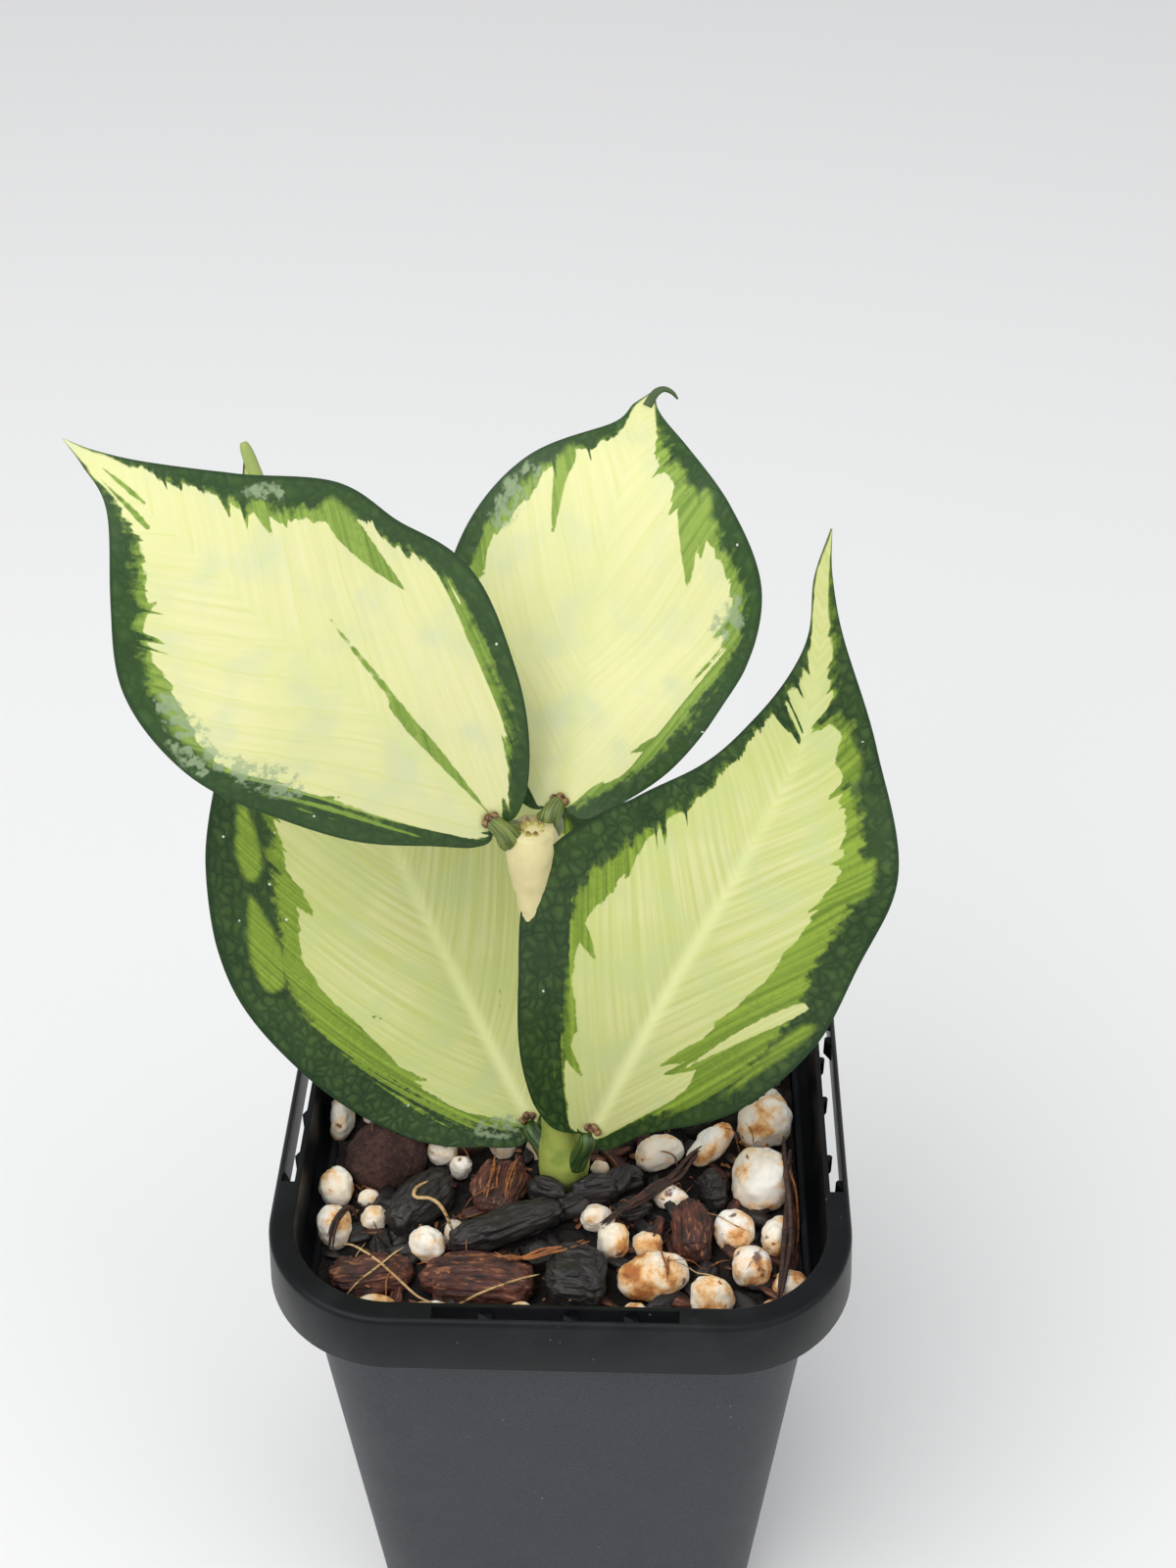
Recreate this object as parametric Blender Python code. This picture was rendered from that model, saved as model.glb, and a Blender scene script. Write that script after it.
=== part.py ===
"""Potted hoya: two pairs of variegated leaves on a short stem, in a square nursery pot of coarse mix.

Metres, +Z up. The origin is the middle of the pot's flat underside. The front is towards -Y.
"""
import math
import random

import bmesh
import bpy
import numpy as np
from mathutils import Matrix, Vector

MM = 0.001
GAP = 0.3 * MM                      # clearance between pieces that touch

# Pot: half widths are measured from the middle to a flat side
POT_HEIGHT = 100 * MM
RIM_HALF = 42.5 * MM
RIM_CORNER = 19 * MM
FLANGE = 3.7 * MM                   # width of the flat flange round the mouth
SKIRT_DROP = 10 * MM
SKIRT_FLARE = 0.5 * MM
SHELL = 0.75 * MM                   # thickness of the skirt and of the collar behind it
FLANGE_THICK = 1.2 * MM
BODY_HALF = 38.1 * MM               # the tapered body's outer half width, carried up to the rim
BODY_TAPER = 0.0793
BODY_CORNER = 11 * MM
BODY_WALL = 1.1 * MM
FLOOR = 1.6 * MM
CORNER_STEPS = 5
SLOT_LENGTH = 34.7 * MM
SLOT_WIDTH = 2.0 * MM
DRAIN_RADIUS = 3.5 * MM
DRAIN_PLACE = 19 * MM               # each drainage hole's distance from the pot's two middle planes

# Potting mix
MIX_TOP = 91 * MM
MIX_RINGS = 9
MIX_GRAINS = 58
GRAIN_TRIES = 60                    # places drawn for a grain before it is given up
GRAIN_SIZES = (1.3, 4.2)            # half sizes in mm
COARSE_GRAIN = 2.8                  # a grain of this half size or less has fewer faces

# Stem: height, place in x and y, radius, all in mm
STEM_PROFILE = [
    (64, 0.6, -9.4, 2.4), (84, 0.3, -9.2, 2.7), (91, 0.1, -9.1, 3.2), (95, 0.0, -9.0, 3.9),
    (98, -0.1, -8.9, 3.8), (102, -0.4, -8.6, 2.9), (110, -0.9, -7.7, 2.3), (125, -2.0, -5.8, 2.2),
    (138, -3.0, -4.0, 2.4), (146, -3.6, -2.9, 3.0), (151, -3.9, -2.3, 3.8), (154, -4.0, -2.0, 3.9),
    (156, -4.1, -1.9, 2.8),
]
STEM_SIDES = 12
HOLE_RADIUS = 4.4 * MM

# Leaves: the fraction of the length at which each half width is given, and the blade's thickness
STATIONS = [-0.02, 0.04, 0.14, 0.28, 0.44, 0.60, 0.74, 0.86, 0.94]
BLADE = 0.8 * MM
MIDRIB = 1.0 * MM                   # extra thickness under the midrib at the leaf's foot
LEAF_ROWS = 24
LEAF_COLUMNS = [-1, -0.82, -0.6, -0.36, -0.12, 0, 0.12, 0.36, 0.6, 0.82, 1]

# Each leaf in mm: midrib from foot to tip, half widths left and right at the stations, the way that the
# upper face looks (azimuth and elevation in degrees, from foot to tip), the rise of each half at 20 mm from
# the midrib, the waves of the margin (height, count, start) and the stalk's two ends
LEAVES = {
    "leaf_lower_left": dict(
        midrib=[(-5.3, -4, 99), (-14.5, 6, 113.5), (-25.5, 17, 133.5), (-37, 29, 158), (-46.5, 40, 191.5)],
        left=[3.5, 13.5, 21, 27.5, 31, 26.5, 15.5, 8.5, 3.5], right=[2, 11, 19.5, 27, 30.5, 26, 16, 8.5, 1.5],
        face=[(-80, 35), (-78, 36), (-80, 40)], rise_left=[-1, -2, 0], rise_right=[0, -1.2, 0],
        wave=(0.5, 3, 0.4), stalk=[(-2.6, -7.2, 96.2), (-5.2, -4.4, 98)]),
    "leaf_lower_right": dict(
        midrib=[(4, -13, 106.5), (15, -15, 138), (24.5, -13, 160), (32, -6, 177), (34.5, 4, 201)],
        left=[3, 10.5, 18, 24, 19.5, 11.5, 7, 1.8, 1.5], right=[3, 7, 16.5, 21, 20, 18.5, 10, 3.5, 0.8],
        face=[(-95, 25), (-92, 25), (-80, 30)], rise_left=[-4, -4, 2], rise_right=[2, 2, 4],
        wave=(0.6, 3, 1.8), stalk=[(1.9, -10.9, 98), (3.8, -12.6, 104.8)]),
    "leaf_upper_left": dict(
        midrib=[(-9, -3, 157.5), (-23.5, -7, 178.5), (-35.5, -8, 192.5), (-47, -6, 205.5), (-60, -1, 215.5)],
        left=[3, 8, 15, 19.5, 21, 18.5, 11.5, 3.2, 1], right=[3, 10, 17, 22.5, 21, 19, 10.5, 4.5, 1.5],
        face=[(-95, 40), (-92, 44), (-95, 50)], rise_left=[-2, -3.2, -1], rise_right=[-1, -2.4, 0],
        wave=(0.5, 3, 3.0), stalk=[(-6.6, -2.3, 154.4), (-8.6, -2.8, 156.4)]),
    "leaf_upper_right": dict(
        midrib=[(-0.5, 2, 157), (2, 10, 168.5), (4, 19, 177.5), (8, 30, 193.5), (12, 42, 200)],
        left=[4, 9.5, 15, 20, 22, 20.5, 14, 4, 2], right=[4, 9, 14.5, 19, 22, 22, 15, 7, 1.7],
        face=[(-100, 40), (-95, 44), (-90, 50)], rise_left=[-2, -2.4, -1], rise_right=[-1, -2, 0],
        wave=(0.5, 3, 5.0), stalk=[(-2.2, 0.7, 154.2), (-0.7, 1.6, 156)]),
}

# Lumps that lie on the mix, in mm: middle (x, y, z), half sizes (x, y, z), turn about Z in degrees
PERLITE = [
    ((31, 2, 93.5), (4.2, 4.4, 4.6), 0), ((29.8, -10, 94.2), (4.5, 4.8, 5.2), 10),
    ((25.9, -18.7, 92.6), (3.1, 3.0, 3.0), 0), ((32.4, -19.6, 92.4), (2.2, 3.4, 2.9), -15),
    ((27.8, -26, 93), (2.9, 3.1, 3.3), 0), ((33.8, -28.8, 92.4), (2.5, 2.4, 2.6), 0),
    ((22, -31.6, 92.8), (3.2, 2.9, 3.5), 0), ((13.8, -28.2, 93.2), (5.0, 3.6, 3.7), 5),
    ((7.6, -21.6, 93), (2.4, 2.8, 3.3), 0), ((13.1, -21.6, 92.4), (2.2, 2.0, 2.0), 0),
    ((14.4, -4.2, 93), (3.8, 2.4, 2.8), 15), ((22.4, -3.2, 94), (4.6, 2.1, 2.7), 48),
    ((16.2, -12.2, 92.2), (2.7, 1.9, 1.9), -20), ((-35.6, 2, 92.6), (1.9, 3.2, 3.2), 0),
    ((-34.5, -11.9, 92.6), (2.5, 2.9, 2.9), 0), ((-34, -19.8, 93), (2.5, 3.1, 3.4), 10),
    ((-28.2, -17.6, 92.2), (2.1, 1.8, 2.0), 0), ((-19.8, -22.6, 93), (2.6, 2.7, 2.8), 0),
    ((-26.4, -34.2, 92), (3.4, 2.0, 2.2), 8), ((-18.4, -34.6, 91.8), (3.4, 1.8, 2.0), 0),
    ((-5.3, -34.9, 92), (2.5, 1.8, 2.2), 0), ((-20.6, 1.6, 92), (2.5, 2.4, 2.4), 0),
    ((5.2, -17.7, 93.2), (2.6, 1.8, 2.2), 0), ((-19.0, -4.3, 92.8), (2.2, 2.0, 2.4), 0),
    ((-15.9, -7.3, 92.4), (1.7, 1.7, 2.2), 0), ((11.2, -34.2, 92), (2.3, 1.4, 2.0), 0),
    ((17.0, -34.6, 91.8), (1.9, 1.2, 1.8), 0),
]
SCORIA = [((-27.8, -5.6, 92.6), (6.4, 6.0, 5.6), 0)]
BARK = [
    ((-9.6, -11.6, 92.8), (5.0, 4.2, 2.8), 76), ((-11.6, -29.2, 92.6), (8.4, 3.9, 3.2), -3),
    ((-27.6, -28.4, 92.2), (6.0, 3.4, 2.6), 8), ((19.4, -19.2, 92.6), (5.2, 2.9, 3.4), 96),
]
CHARCOAL = [
    ((-21.2, -15.0, 93.4), (6.4, 3.2, 3.6), 54), ((-8.0, -20.2, 94.4), (9.6, 2.5, 2.7), 24),
    ((2.6, -28.8, 93), (4.6, 5.2, 4.0), -10), ((10, -9.2, 92.4), (2.2, 1.8, 2.2), 20),
    ((22.8, -11.2, 92.4), (2.0, 3.0, 2.8), 10), ((10.6, -15.4, 92.4), (2.4, 1.7, 2.0), 20),
]


def clear_scene():
    for obj in list(bpy.data.objects):
        bpy.data.objects.remove(obj, do_unlink=True)


def material(name, colour, roughness, coat=0.0):
    """A Principled material of one colour."""
    made = bpy.data.materials.new(name)
    made.use_nodes = True
    shader = made.node_tree.nodes["Principled BSDF"]
    shader.inputs["Base Color"].default_value = (*colour, 1)
    shader.inputs["Roughness"].default_value = roughness
    shader.inputs["Metallic"].default_value = 0
    shader.inputs["Coat Weight"].default_value = coat
    return made


def mesh_object(name, verts, faces, finish=None):
    """An object from vertices in metres and faces that point out."""
    mesh = bpy.data.meshes.new(name)
    mesh.from_pydata([tuple(v) for v in verts], [], faces)
    mesh.update()
    obj = bpy.data.objects.new(name, mesh)
    bpy.context.scene.collection.objects.link(obj)
    if finish:
        mesh.materials.append(finish)
    return obj


def boolean(obj, tools, operation, solver="EXACT"):
    """Cut the tools from obj or join them to it, apply the result and remove the tools."""
    group = bpy.data.collections.new(obj.name + "_tools")
    bpy.context.scene.collection.children.link(group)
    for tool in tools:
        for home in list(tool.users_collection):
            home.objects.unlink(tool)
        group.objects.link(tool)
    step = obj.modifiers.new(operation.lower(), "BOOLEAN")
    step.operation = operation
    step.solver = solver
    step.operand_type = "COLLECTION"
    step.collection = group
    bpy.context.view_layer.update()
    graph = bpy.context.evaluated_depsgraph_get()
    result = bpy.data.meshes.new_from_object(obj.evaluated_get(graph))
    obj.modifiers.clear()
    obj.data = result
    for tool in tools:
        bpy.data.objects.remove(tool, do_unlink=True)
    bpy.data.collections.remove(group)
    keep_largest_body(obj)


def keep_largest_body(obj):
    """Drop the loose scraps that a cut leaves, and split the rest into triangles."""
    bm = bmesh.new()
    bm.from_mesh(obj.data)
    bodies = []
    unseen = set(bm.verts)
    while unseen:
        reached = [unseen.pop()]
        for vert in reached:
            for edge in vert.link_edges:
                other = edge.other_vert(vert)
                if other in unseen:
                    unseen.discard(other)
                    reached.append(other)
        bodies.append(reached)
    bodies.sort(key=len)
    scraps = [vert for body in bodies[:-1] for vert in body]
    bmesh.ops.delete(bm, geom=scraps, context="VERTS")
    bmesh.ops.triangulate(bm, faces=bm.faces)
    bm.to_mesh(obj.data)
    bm.free()


def square_ring(half, corner, height):
    """Points round a square with rounded corners, anticlockwise from above."""
    points = []
    for quarter in range(4):
        for step in range(CORNER_STEPS + 1):
            angle = math.radians(90 * quarter + 90 * step / CORNER_STEPS)
            side_x = (1, -1, -1, 1)[quarter] * (half - corner)
            side_y = (1, 1, -1, -1)[quarter] * (half - corner)
            points.append((side_x + corner * math.cos(angle), side_y + corner * math.sin(angle), height))
    return points


def loft(rings):
    """Vertices and faces of a closed solid through rings of equal count, capped at both ends."""
    count = len(rings[0])
    verts = [point for ring in rings for point in ring]
    faces = [list(range(count))[::-1]]
    for level in range(len(rings) - 1):
        low = level * count
        for i in range(count):
            j = (i + 1) % count
            faces.append((low + i, low + j, low + count + j, low + count + i))
    last = (len(rings) - 1) * count
    faces.append(list(range(last, last + count)))
    return verts, faces


def body_half(height):
    return BODY_HALF - BODY_TAPER * (POT_HEIGHT - height)


def body_corner(height):
    return BODY_CORNER * (0.75 + 0.25 * height / POT_HEIGHT)


def pot_rings():
    """The pot's section from under the floor, up outside, over the flange and down inside."""
    top = POT_HEIGHT
    skirt_foot = top - SKIRT_DROP
    ledge = top - 11.5 * MM
    mouth = RIM_HALF - FLANGE
    mouth_corner = RIM_CORNER - FLANGE
    edge = 0.4 * MM
    outside = [
        square_ring(body_half(0) - 0.8 * MM, body_corner(0) - 0.8 * MM, 0),
        square_ring(body_half(1 * MM), body_corner(0), 1 * MM),
        square_ring(body_half(ledge), body_corner(ledge), ledge),
        square_ring(mouth + SHELL, mouth_corner + SHELL, ledge + 2 * MM),
        square_ring(mouth + SHELL, mouth_corner + SHELL, top - FLANGE_THICK),
        square_ring(RIM_HALF - SHELL, RIM_CORNER - SHELL, top - FLANGE_THICK),
        square_ring(RIM_HALF + SKIRT_FLARE - SHELL, RIM_CORNER + SKIRT_FLARE - SHELL, skirt_foot),
        square_ring(RIM_HALF + SKIRT_FLARE, RIM_CORNER + SKIRT_FLARE, skirt_foot),
        square_ring(RIM_HALF, RIM_CORNER, top - 2.5 * edge),
        square_ring(RIM_HALF - 0.6 * edge, RIM_CORNER - 0.6 * edge, top - 0.7 * edge),
        square_ring(RIM_HALF - 2 * edge, RIM_CORNER - 2 * edge, top),
        square_ring(mouth + edge, mouth_corner + edge, top),
        square_ring(mouth, mouth_corner, top - edge),
    ]
    inside = []
    rib = 0.25 * MM
    for step in range(3):
        height = top - (2.5 + 2 * step) * MM
        shrink = rib * step
        inside.append(square_ring(mouth - shrink, mouth_corner - shrink, height))
        shrink += rib
        inside.append(square_ring(mouth - shrink, mouth_corner - shrink, height - 0.3 * MM))
    inside += [
        square_ring(mouth - 0.75 * MM, mouth_corner - 0.75 * MM, ledge + 2.4 * MM),
        square_ring(body_half(ledge) - BODY_WALL, body_corner(ledge) - BODY_WALL, ledge + 0.4 * MM),
        square_ring(body_half(FLOOR) - BODY_WALL, body_corner(FLOOR) - BODY_WALL, FLOOR),
    ]
    return outside + inside


def box(name, low, high):
    """A plain box between two corners, in metres."""
    middle = (Vector(low) + Vector(high)) / 2
    size = Vector(high) - Vector(low)
    mesh = bpy.data.meshes.new(name)
    bm = bmesh.new()
    bmesh.ops.create_cube(bm, size=1, matrix=Matrix.Translation(middle) @ Matrix.Diagonal((*size, 1)))
    bm.to_mesh(mesh)
    bm.free()
    obj = bpy.data.objects.new(name, mesh)
    bpy.context.scene.collection.objects.link(obj)
    return obj


def turn_about_z(obj, angle):
    obj.data.transform(Matrix.Rotation(angle, 4, "Z"))


def barb(name, along, wall_side):
    """One small wedge in the right-hand slot, on the collar or on the skirt."""
    reach = 0.9 * MM
    root = RIM_HALF - SHELL + 0.3 * MM if wall_side > 0 else RIM_HALF - FLANGE + SHELL - 0.3 * MM
    tip = root - wall_side * (reach + 0.3 * MM)
    top = POT_HEIGHT - 2.2 * MM
    foot = top - 2.5 * MM
    half = 1.1 * MM
    verts = []
    for height in (foot, top):
        verts += [(root, along - half, height), (root, along + half, height), (tip, along + half, height)]
    faces = [(0, 2, 1), (3, 4, 5), (0, 1, 4, 3), (1, 2, 5, 4), (2, 0, 3, 5)]
    if wall_side < 0:
        faces = [face[::-1] for face in faces]
    return mesh_object(name, verts, [face[::-1] for face in faces])


def drain(name, x, y):
    """A drainage hole's cutter: a short drum through the floor."""
    mesh = bpy.data.meshes.new(name)
    bm = bmesh.new()
    bmesh.ops.create_cone(
        bm, cap_ends=True, segments=12, radius1=DRAIN_RADIUS, radius2=DRAIN_RADIUS, depth=3 * FLOOR,
        matrix=Matrix.Translation((x, y, FLOOR / 2)))
    bm.to_mesh(mesh)
    bm.free()
    obj = bpy.data.objects.new(name, mesh)
    bpy.context.scene.collection.objects.link(obj)
    return obj


def make_pot():
    """The moulded pot: a loft, with barbs joined on, then slots and drainage holes cut."""
    verts, faces = loft(pot_rings())
    finish = material("black_plastic", (0.022, 0.025, 0.030), 0.38)
    pot = mesh_object("pot", verts, faces, finish)
    barbs = []
    cutters = []
    slot_middle = RIM_HALF - FLANGE / 2
    for side in range(4):
        angle = math.radians(90 * side)
        for number, (along, wall_side) in enumerate([(-10, -1), (2, -1), (10.5, -1), (-15, 1), (15, 1)]):
            wedge = barb(f"barb_{side}_{number}", along * MM, wall_side)
            turn_about_z(wedge, angle)
            barbs.append(wedge)
        slot = box(
            f"slot_{side}", (slot_middle - SLOT_WIDTH / 2, -SLOT_LENGTH / 2, POT_HEIGHT - 2 * FLANGE_THICK),
            (slot_middle + SLOT_WIDTH / 2, SLOT_LENGTH / 2, POT_HEIGHT + 1 * MM))
        turn_about_z(slot, angle)
        cutters.append(slot)
    for x, y in [(-1, -1), (1, -1), (1, 1), (-1, 1)]:
        cutters.append(drain(f"drain_{x}_{y}", x * DRAIN_PLACE, y * DRAIN_PLACE))
    boolean(pot, barbs, "UNION")
    boolean(pot, cutters, "DIFFERENCE")
    return pot


def mix_height(x, y):
    """The mix's top: a sum of waves of a few lengths, lower beside the wall."""
    lumpy = (
        0.55 * math.sin(0.45 * x / MM + 1.0) * math.cos(0.38 * y / MM)
        + 0.35 * math.sin(0.9 * x / MM - 0.7 * y / MM) + 0.25 * math.cos(1.3 * y / MM + 0.5 * x / MM))
    return MIX_TOP + lumpy * MM


def make_mix(finish):
    """The potting mix: rings inside the pot's wall, closed by a lumpy top of shrinking rings."""
    rings = []
    for height in (FLOOR + GAP, MIX_TOP - 4 * MM):
        half = body_half(height) - BODY_WALL - GAP
        corner = body_corner(height) - BODY_WALL - GAP
        rings.append(square_ring(half, corner, height))
    for ring in range(MIX_RINGS):
        share = 1 - ring / MIX_RINGS
        flat = square_ring(half * share, corner * share, 0)
        rings.append([(x, y, mix_height(x, y)) for x, y, _ in flat])
    verts, faces = loft(rings)
    return mesh_object("potting_mix", verts, faces, finish)


def lump(name, place, half, turn, rough, seed, finish=None, grow=0.0, boxy=1.0, fineness=2):
    """A stone: an icosphere stretched to its half sizes, with seeded waves on its radius."""
    draw = random.Random(seed)
    waves = []
    for _ in range(5):
        axis = Vector([draw.uniform(-1, 1) for _ in range(3)]).normalized()
        waves.append((axis, draw.uniform(0, 6.3)))
    mesh = bpy.data.meshes.new(name)
    bm = bmesh.new()
    bmesh.ops.create_icosphere(bm, subdivisions=fineness, radius=1)
    spin = Matrix.Rotation(math.radians(turn), 3, "Z")
    for vert in bm.verts:
        way = vert.co.normalized()
        size = 1 + rough * sum(math.sin(2.6 * way.dot(axis) + start) for axis, start in waves) / 2.5
        form = Vector([math.copysign(abs(part) ** boxy, part) for part in way])
        form *= size / max(1.0, form.length ** 0.6)
        local = Vector([form[axis] * (half[axis] * MM + grow) for axis in range(3)])
        vert.co = spin @ local + Vector(place) * MM
    bmesh.ops.recalc_face_normals(bm, faces=bm.faces)
    bm.to_mesh(mesh)
    bm.free()
    obj = bpy.data.objects.new(name, mesh)
    bpy.context.scene.collection.objects.link(obj)
    if finish:
        mesh.materials.append(finish)
    return obj


def lumps(kind, places, rough, boxy, finish):
    """The lumps of one kind, and for each the larger copy that cuts its pocket."""
    made = []
    pockets = []
    for number, (place, half, turn) in enumerate(places, start=1):
        seed = f"{kind}{number}"
        made.append(lump(f"{kind}_{number:02d}", place, half, turn, rough, seed, finish, 0.0, boxy))
        pockets.append(lump(f"pocket_{kind}_{number}", place, half, turn, rough, seed, None, 1.4 * GAP, boxy))
    return made, pockets


def outside(x, y, size, ellipse):
    """Whether a round grain of this half size lies outside a turned ellipse, in mm."""
    (other_x, other_y), (half_x, half_y), turn = ellipse
    cosine, sine = math.cos(math.radians(turn)), math.sin(math.radians(turn))
    along = (cosine * (x - other_x) + sine * (y - other_y)) / (half_x + size)
    over = (cosine * (y - other_y) - sine * (x - other_x)) / (half_y + size)
    return math.hypot(along, over) > 1


def fits_in_mix(x, y, size, taken):
    """Whether a grain lies inside the rounded square of the mix and clear of those already placed, in mm."""
    half = (body_half(MIX_TOP) - BODY_WALL - GAP) / MM
    corner = (body_corner(MIX_TOP) - BODY_WALL - GAP) / MM
    beyond = [max(0.0, abs(place) - half + corner) for place in (x, y)]
    return math.hypot(*beyond) <= corner - size and all(outside(x, y, size, ellipse) for ellipse in taken)


def grains():
    """Grains all over the mix, by a seeded rule: the largest find their places first."""
    draw = random.Random(7)
    half = body_half(MIX_TOP) / MM
    named = PERLITE + SCORIA + BARK + CHARCOAL
    taken = [(place[:2], lump_half[:2], turn) for place, lump_half, turn in named]
    taken.append((STEM_PROFILE[2][1:3], (HOLE_RADIUS / MM, HOLE_RADIUS / MM), 0))
    made = []
    for size in sorted((draw.uniform(*GRAIN_SIZES) for _ in range(MIX_GRAINS)), reverse=True):
        for _ in range(GRAIN_TRIES):
            x = draw.uniform(-half, half)
            y = draw.uniform(-half, half)
            if fits_in_mix(x, y, size, taken):
                taken.append(((x, y), (size, size), 0))
                place = (x, y, mix_height(x * MM, y * MM) / MM + 0.1 * size)
                spread = (size, size * draw.uniform(0.7, 1), size * 0.8)
                turn = draw.uniform(0, 180)
                number = len(made)
                fineness = 2 if size > COARSE_GRAIN else 1
                made.append(lump(f"grain_{number}", place, spread, turn, 0.1, number, fineness=fineness))
                break
    return made


def tube(points, radii, sides):
    """Rings round a path of 3-D points, each square to the path."""
    path = np.asarray(points, float)
    along = np.gradient(path, axis=0)
    along /= np.linalg.norm(along, axis=1, keepdims=True)
    guide = np.array([1.0, 0.0, 0.0])
    rings = []
    for point, way, radius in zip(path, along, radii):
        right = guide - way * guide.dot(way)
        right /= np.linalg.norm(right)
        up = np.cross(way, right)
        ring = []
        for side in range(sides):
            angle = 2 * math.pi * side / sides
            ring.append(point + radius * (math.cos(angle) * right + math.sin(angle) * up))
        rings.append(ring)
    return rings


def stem_loft(name, grow=0.0, finish=None):
    """The bare stem with its two swollen nodes, or a thicker copy of it that cuts the leaf stalks."""
    points = [(x * MM, y * MM, z * MM) for z, x, y, _ in STEM_PROFILE]
    radii = [radius * MM + grow for _, _, _, radius in STEM_PROFILE]
    points[-1] = (*points[-1][:2], points[-1][2] + grow)
    verts, faces = loft(tube(points, radii, STEM_SIDES))
    return mesh_object(name, verts, faces, finish)


def make_stem(finish):
    """The stem, with the growing tip's two folded scales joined on top."""
    stem = stem_loft("stem", finish=finish)
    bud = lump("bud", (-4.2, -2.2, 156.4), (1.9, 1.3, 1.5), 25, 0.05, 1)
    scale = lump("scale", (-3.0, -2.4, 157.0), (0.8, 0.7, 1.6), 0, 0.05, 2)
    boolean(stem, [bud, scale], "UNION")
    return stem


def curve_through(points, where):
    """A smooth curve through evenly spaced points (Catmull-Rom), read at fractions from 0 to 1."""
    knots = np.asarray(points, float).reshape(len(points), -1)
    slope = np.gradient(knots, axis=0)
    place = np.clip(np.asarray(where, float), 0, 1) * (len(knots) - 1)
    first = np.minimum(place.astype(int), len(knots) - 2)
    f = (place - first)[..., None]
    start, end = knots[first], knots[first + 1]
    leave, arrive = slope[first], slope[first + 1]
    return (
        (2 * f**3 - 3 * f**2 + 1) * start + (f**3 - 2 * f**2 + f) * leave
        + (3 * f**2 - 2 * f**3) * end + (f**3 - f**2) * arrive)


def unit(vectors):
    return vectors / np.linalg.norm(vectors, axis=-1, keepdims=True)


def facing(azimuth, elevation):
    turn, lift = math.radians(azimuth), math.radians(elevation)
    return (math.cos(lift) * math.cos(turn), math.cos(lift) * math.sin(turn), math.sin(lift))


def leaf_surface(leaf, margin_place, across):
    """Points and normals of a leaf's upper face, in metres.

    margin_place runs from 0 at the foot to 1 at the tip, along the margin. across runs from -1 at the left
    margin to 1 at the right. A row leaves the midrib lower than it meets the margin, as a side vein does.
    """
    place = np.asarray(margin_place, float)[:, None]
    side = np.asarray(across, float)[None, :]
    ends = np.array([0.0] + STATIONS + [1.0])
    widths = [np.array([0.0] + list(leaf[name]) + [0.0]) for name in ("left", "right")]
    margins = [curve_through(np.stack([ends, width], axis=1), place[:, 0]) for width in widths]
    margin = np.where((side < 0)[..., None], margins[0][:, None, :], margins[1][:, None, :])
    reach = np.abs(side)
    start = place**1.5
    along = start + (margin[..., 0] - start) * reach
    x = np.sign(side) * margin[..., 1] * reach
    held = np.clip(along, 0, 1)
    knots = np.array(leaf["midrib"], float)
    length = np.linalg.norm(np.diff(knots, axis=0), axis=1).sum()
    small = 0.001
    heading = unit(curve_through(knots, held + small) - curve_through(knots, held - small))
    middle = curve_through(knots, held) + heading * ((along - held) * length)[..., None]
    face = curve_through([facing(*way) for way in leaf["face"]], held)
    right = unit(np.cross(heading, face))
    normal = np.cross(right, heading)
    rises = [curve_through(leaf[name], held)[..., 0] for name in ("rise_left", "rise_right")]
    rise = np.where(x < 0, rises[0], rises[1]) / 20**2
    height, count, start_angle = leaf["wave"]
    swell = height * reach**3 * np.sin(2 * math.pi * count * place + start_angle + np.sign(side))
    swell = swell * np.sin(math.pi * place)
    points = middle + right * x[..., None] + normal * (rise * x * x + swell)[..., None]
    normals = unit(normal - right * (2 * rise * x)[..., None])
    return points * MM, normals


def leaf_thickness(place, side):
    """Thick over the midrib, thin at the margin."""
    ridge = MIDRIB * (1 - 0.8 * place) * np.clip(1 - np.abs(side) / 0.12, 0, 1)
    return BLADE + 0.4 * MM * (1 - np.abs(side)) * (1 - place) + ridge


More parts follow.
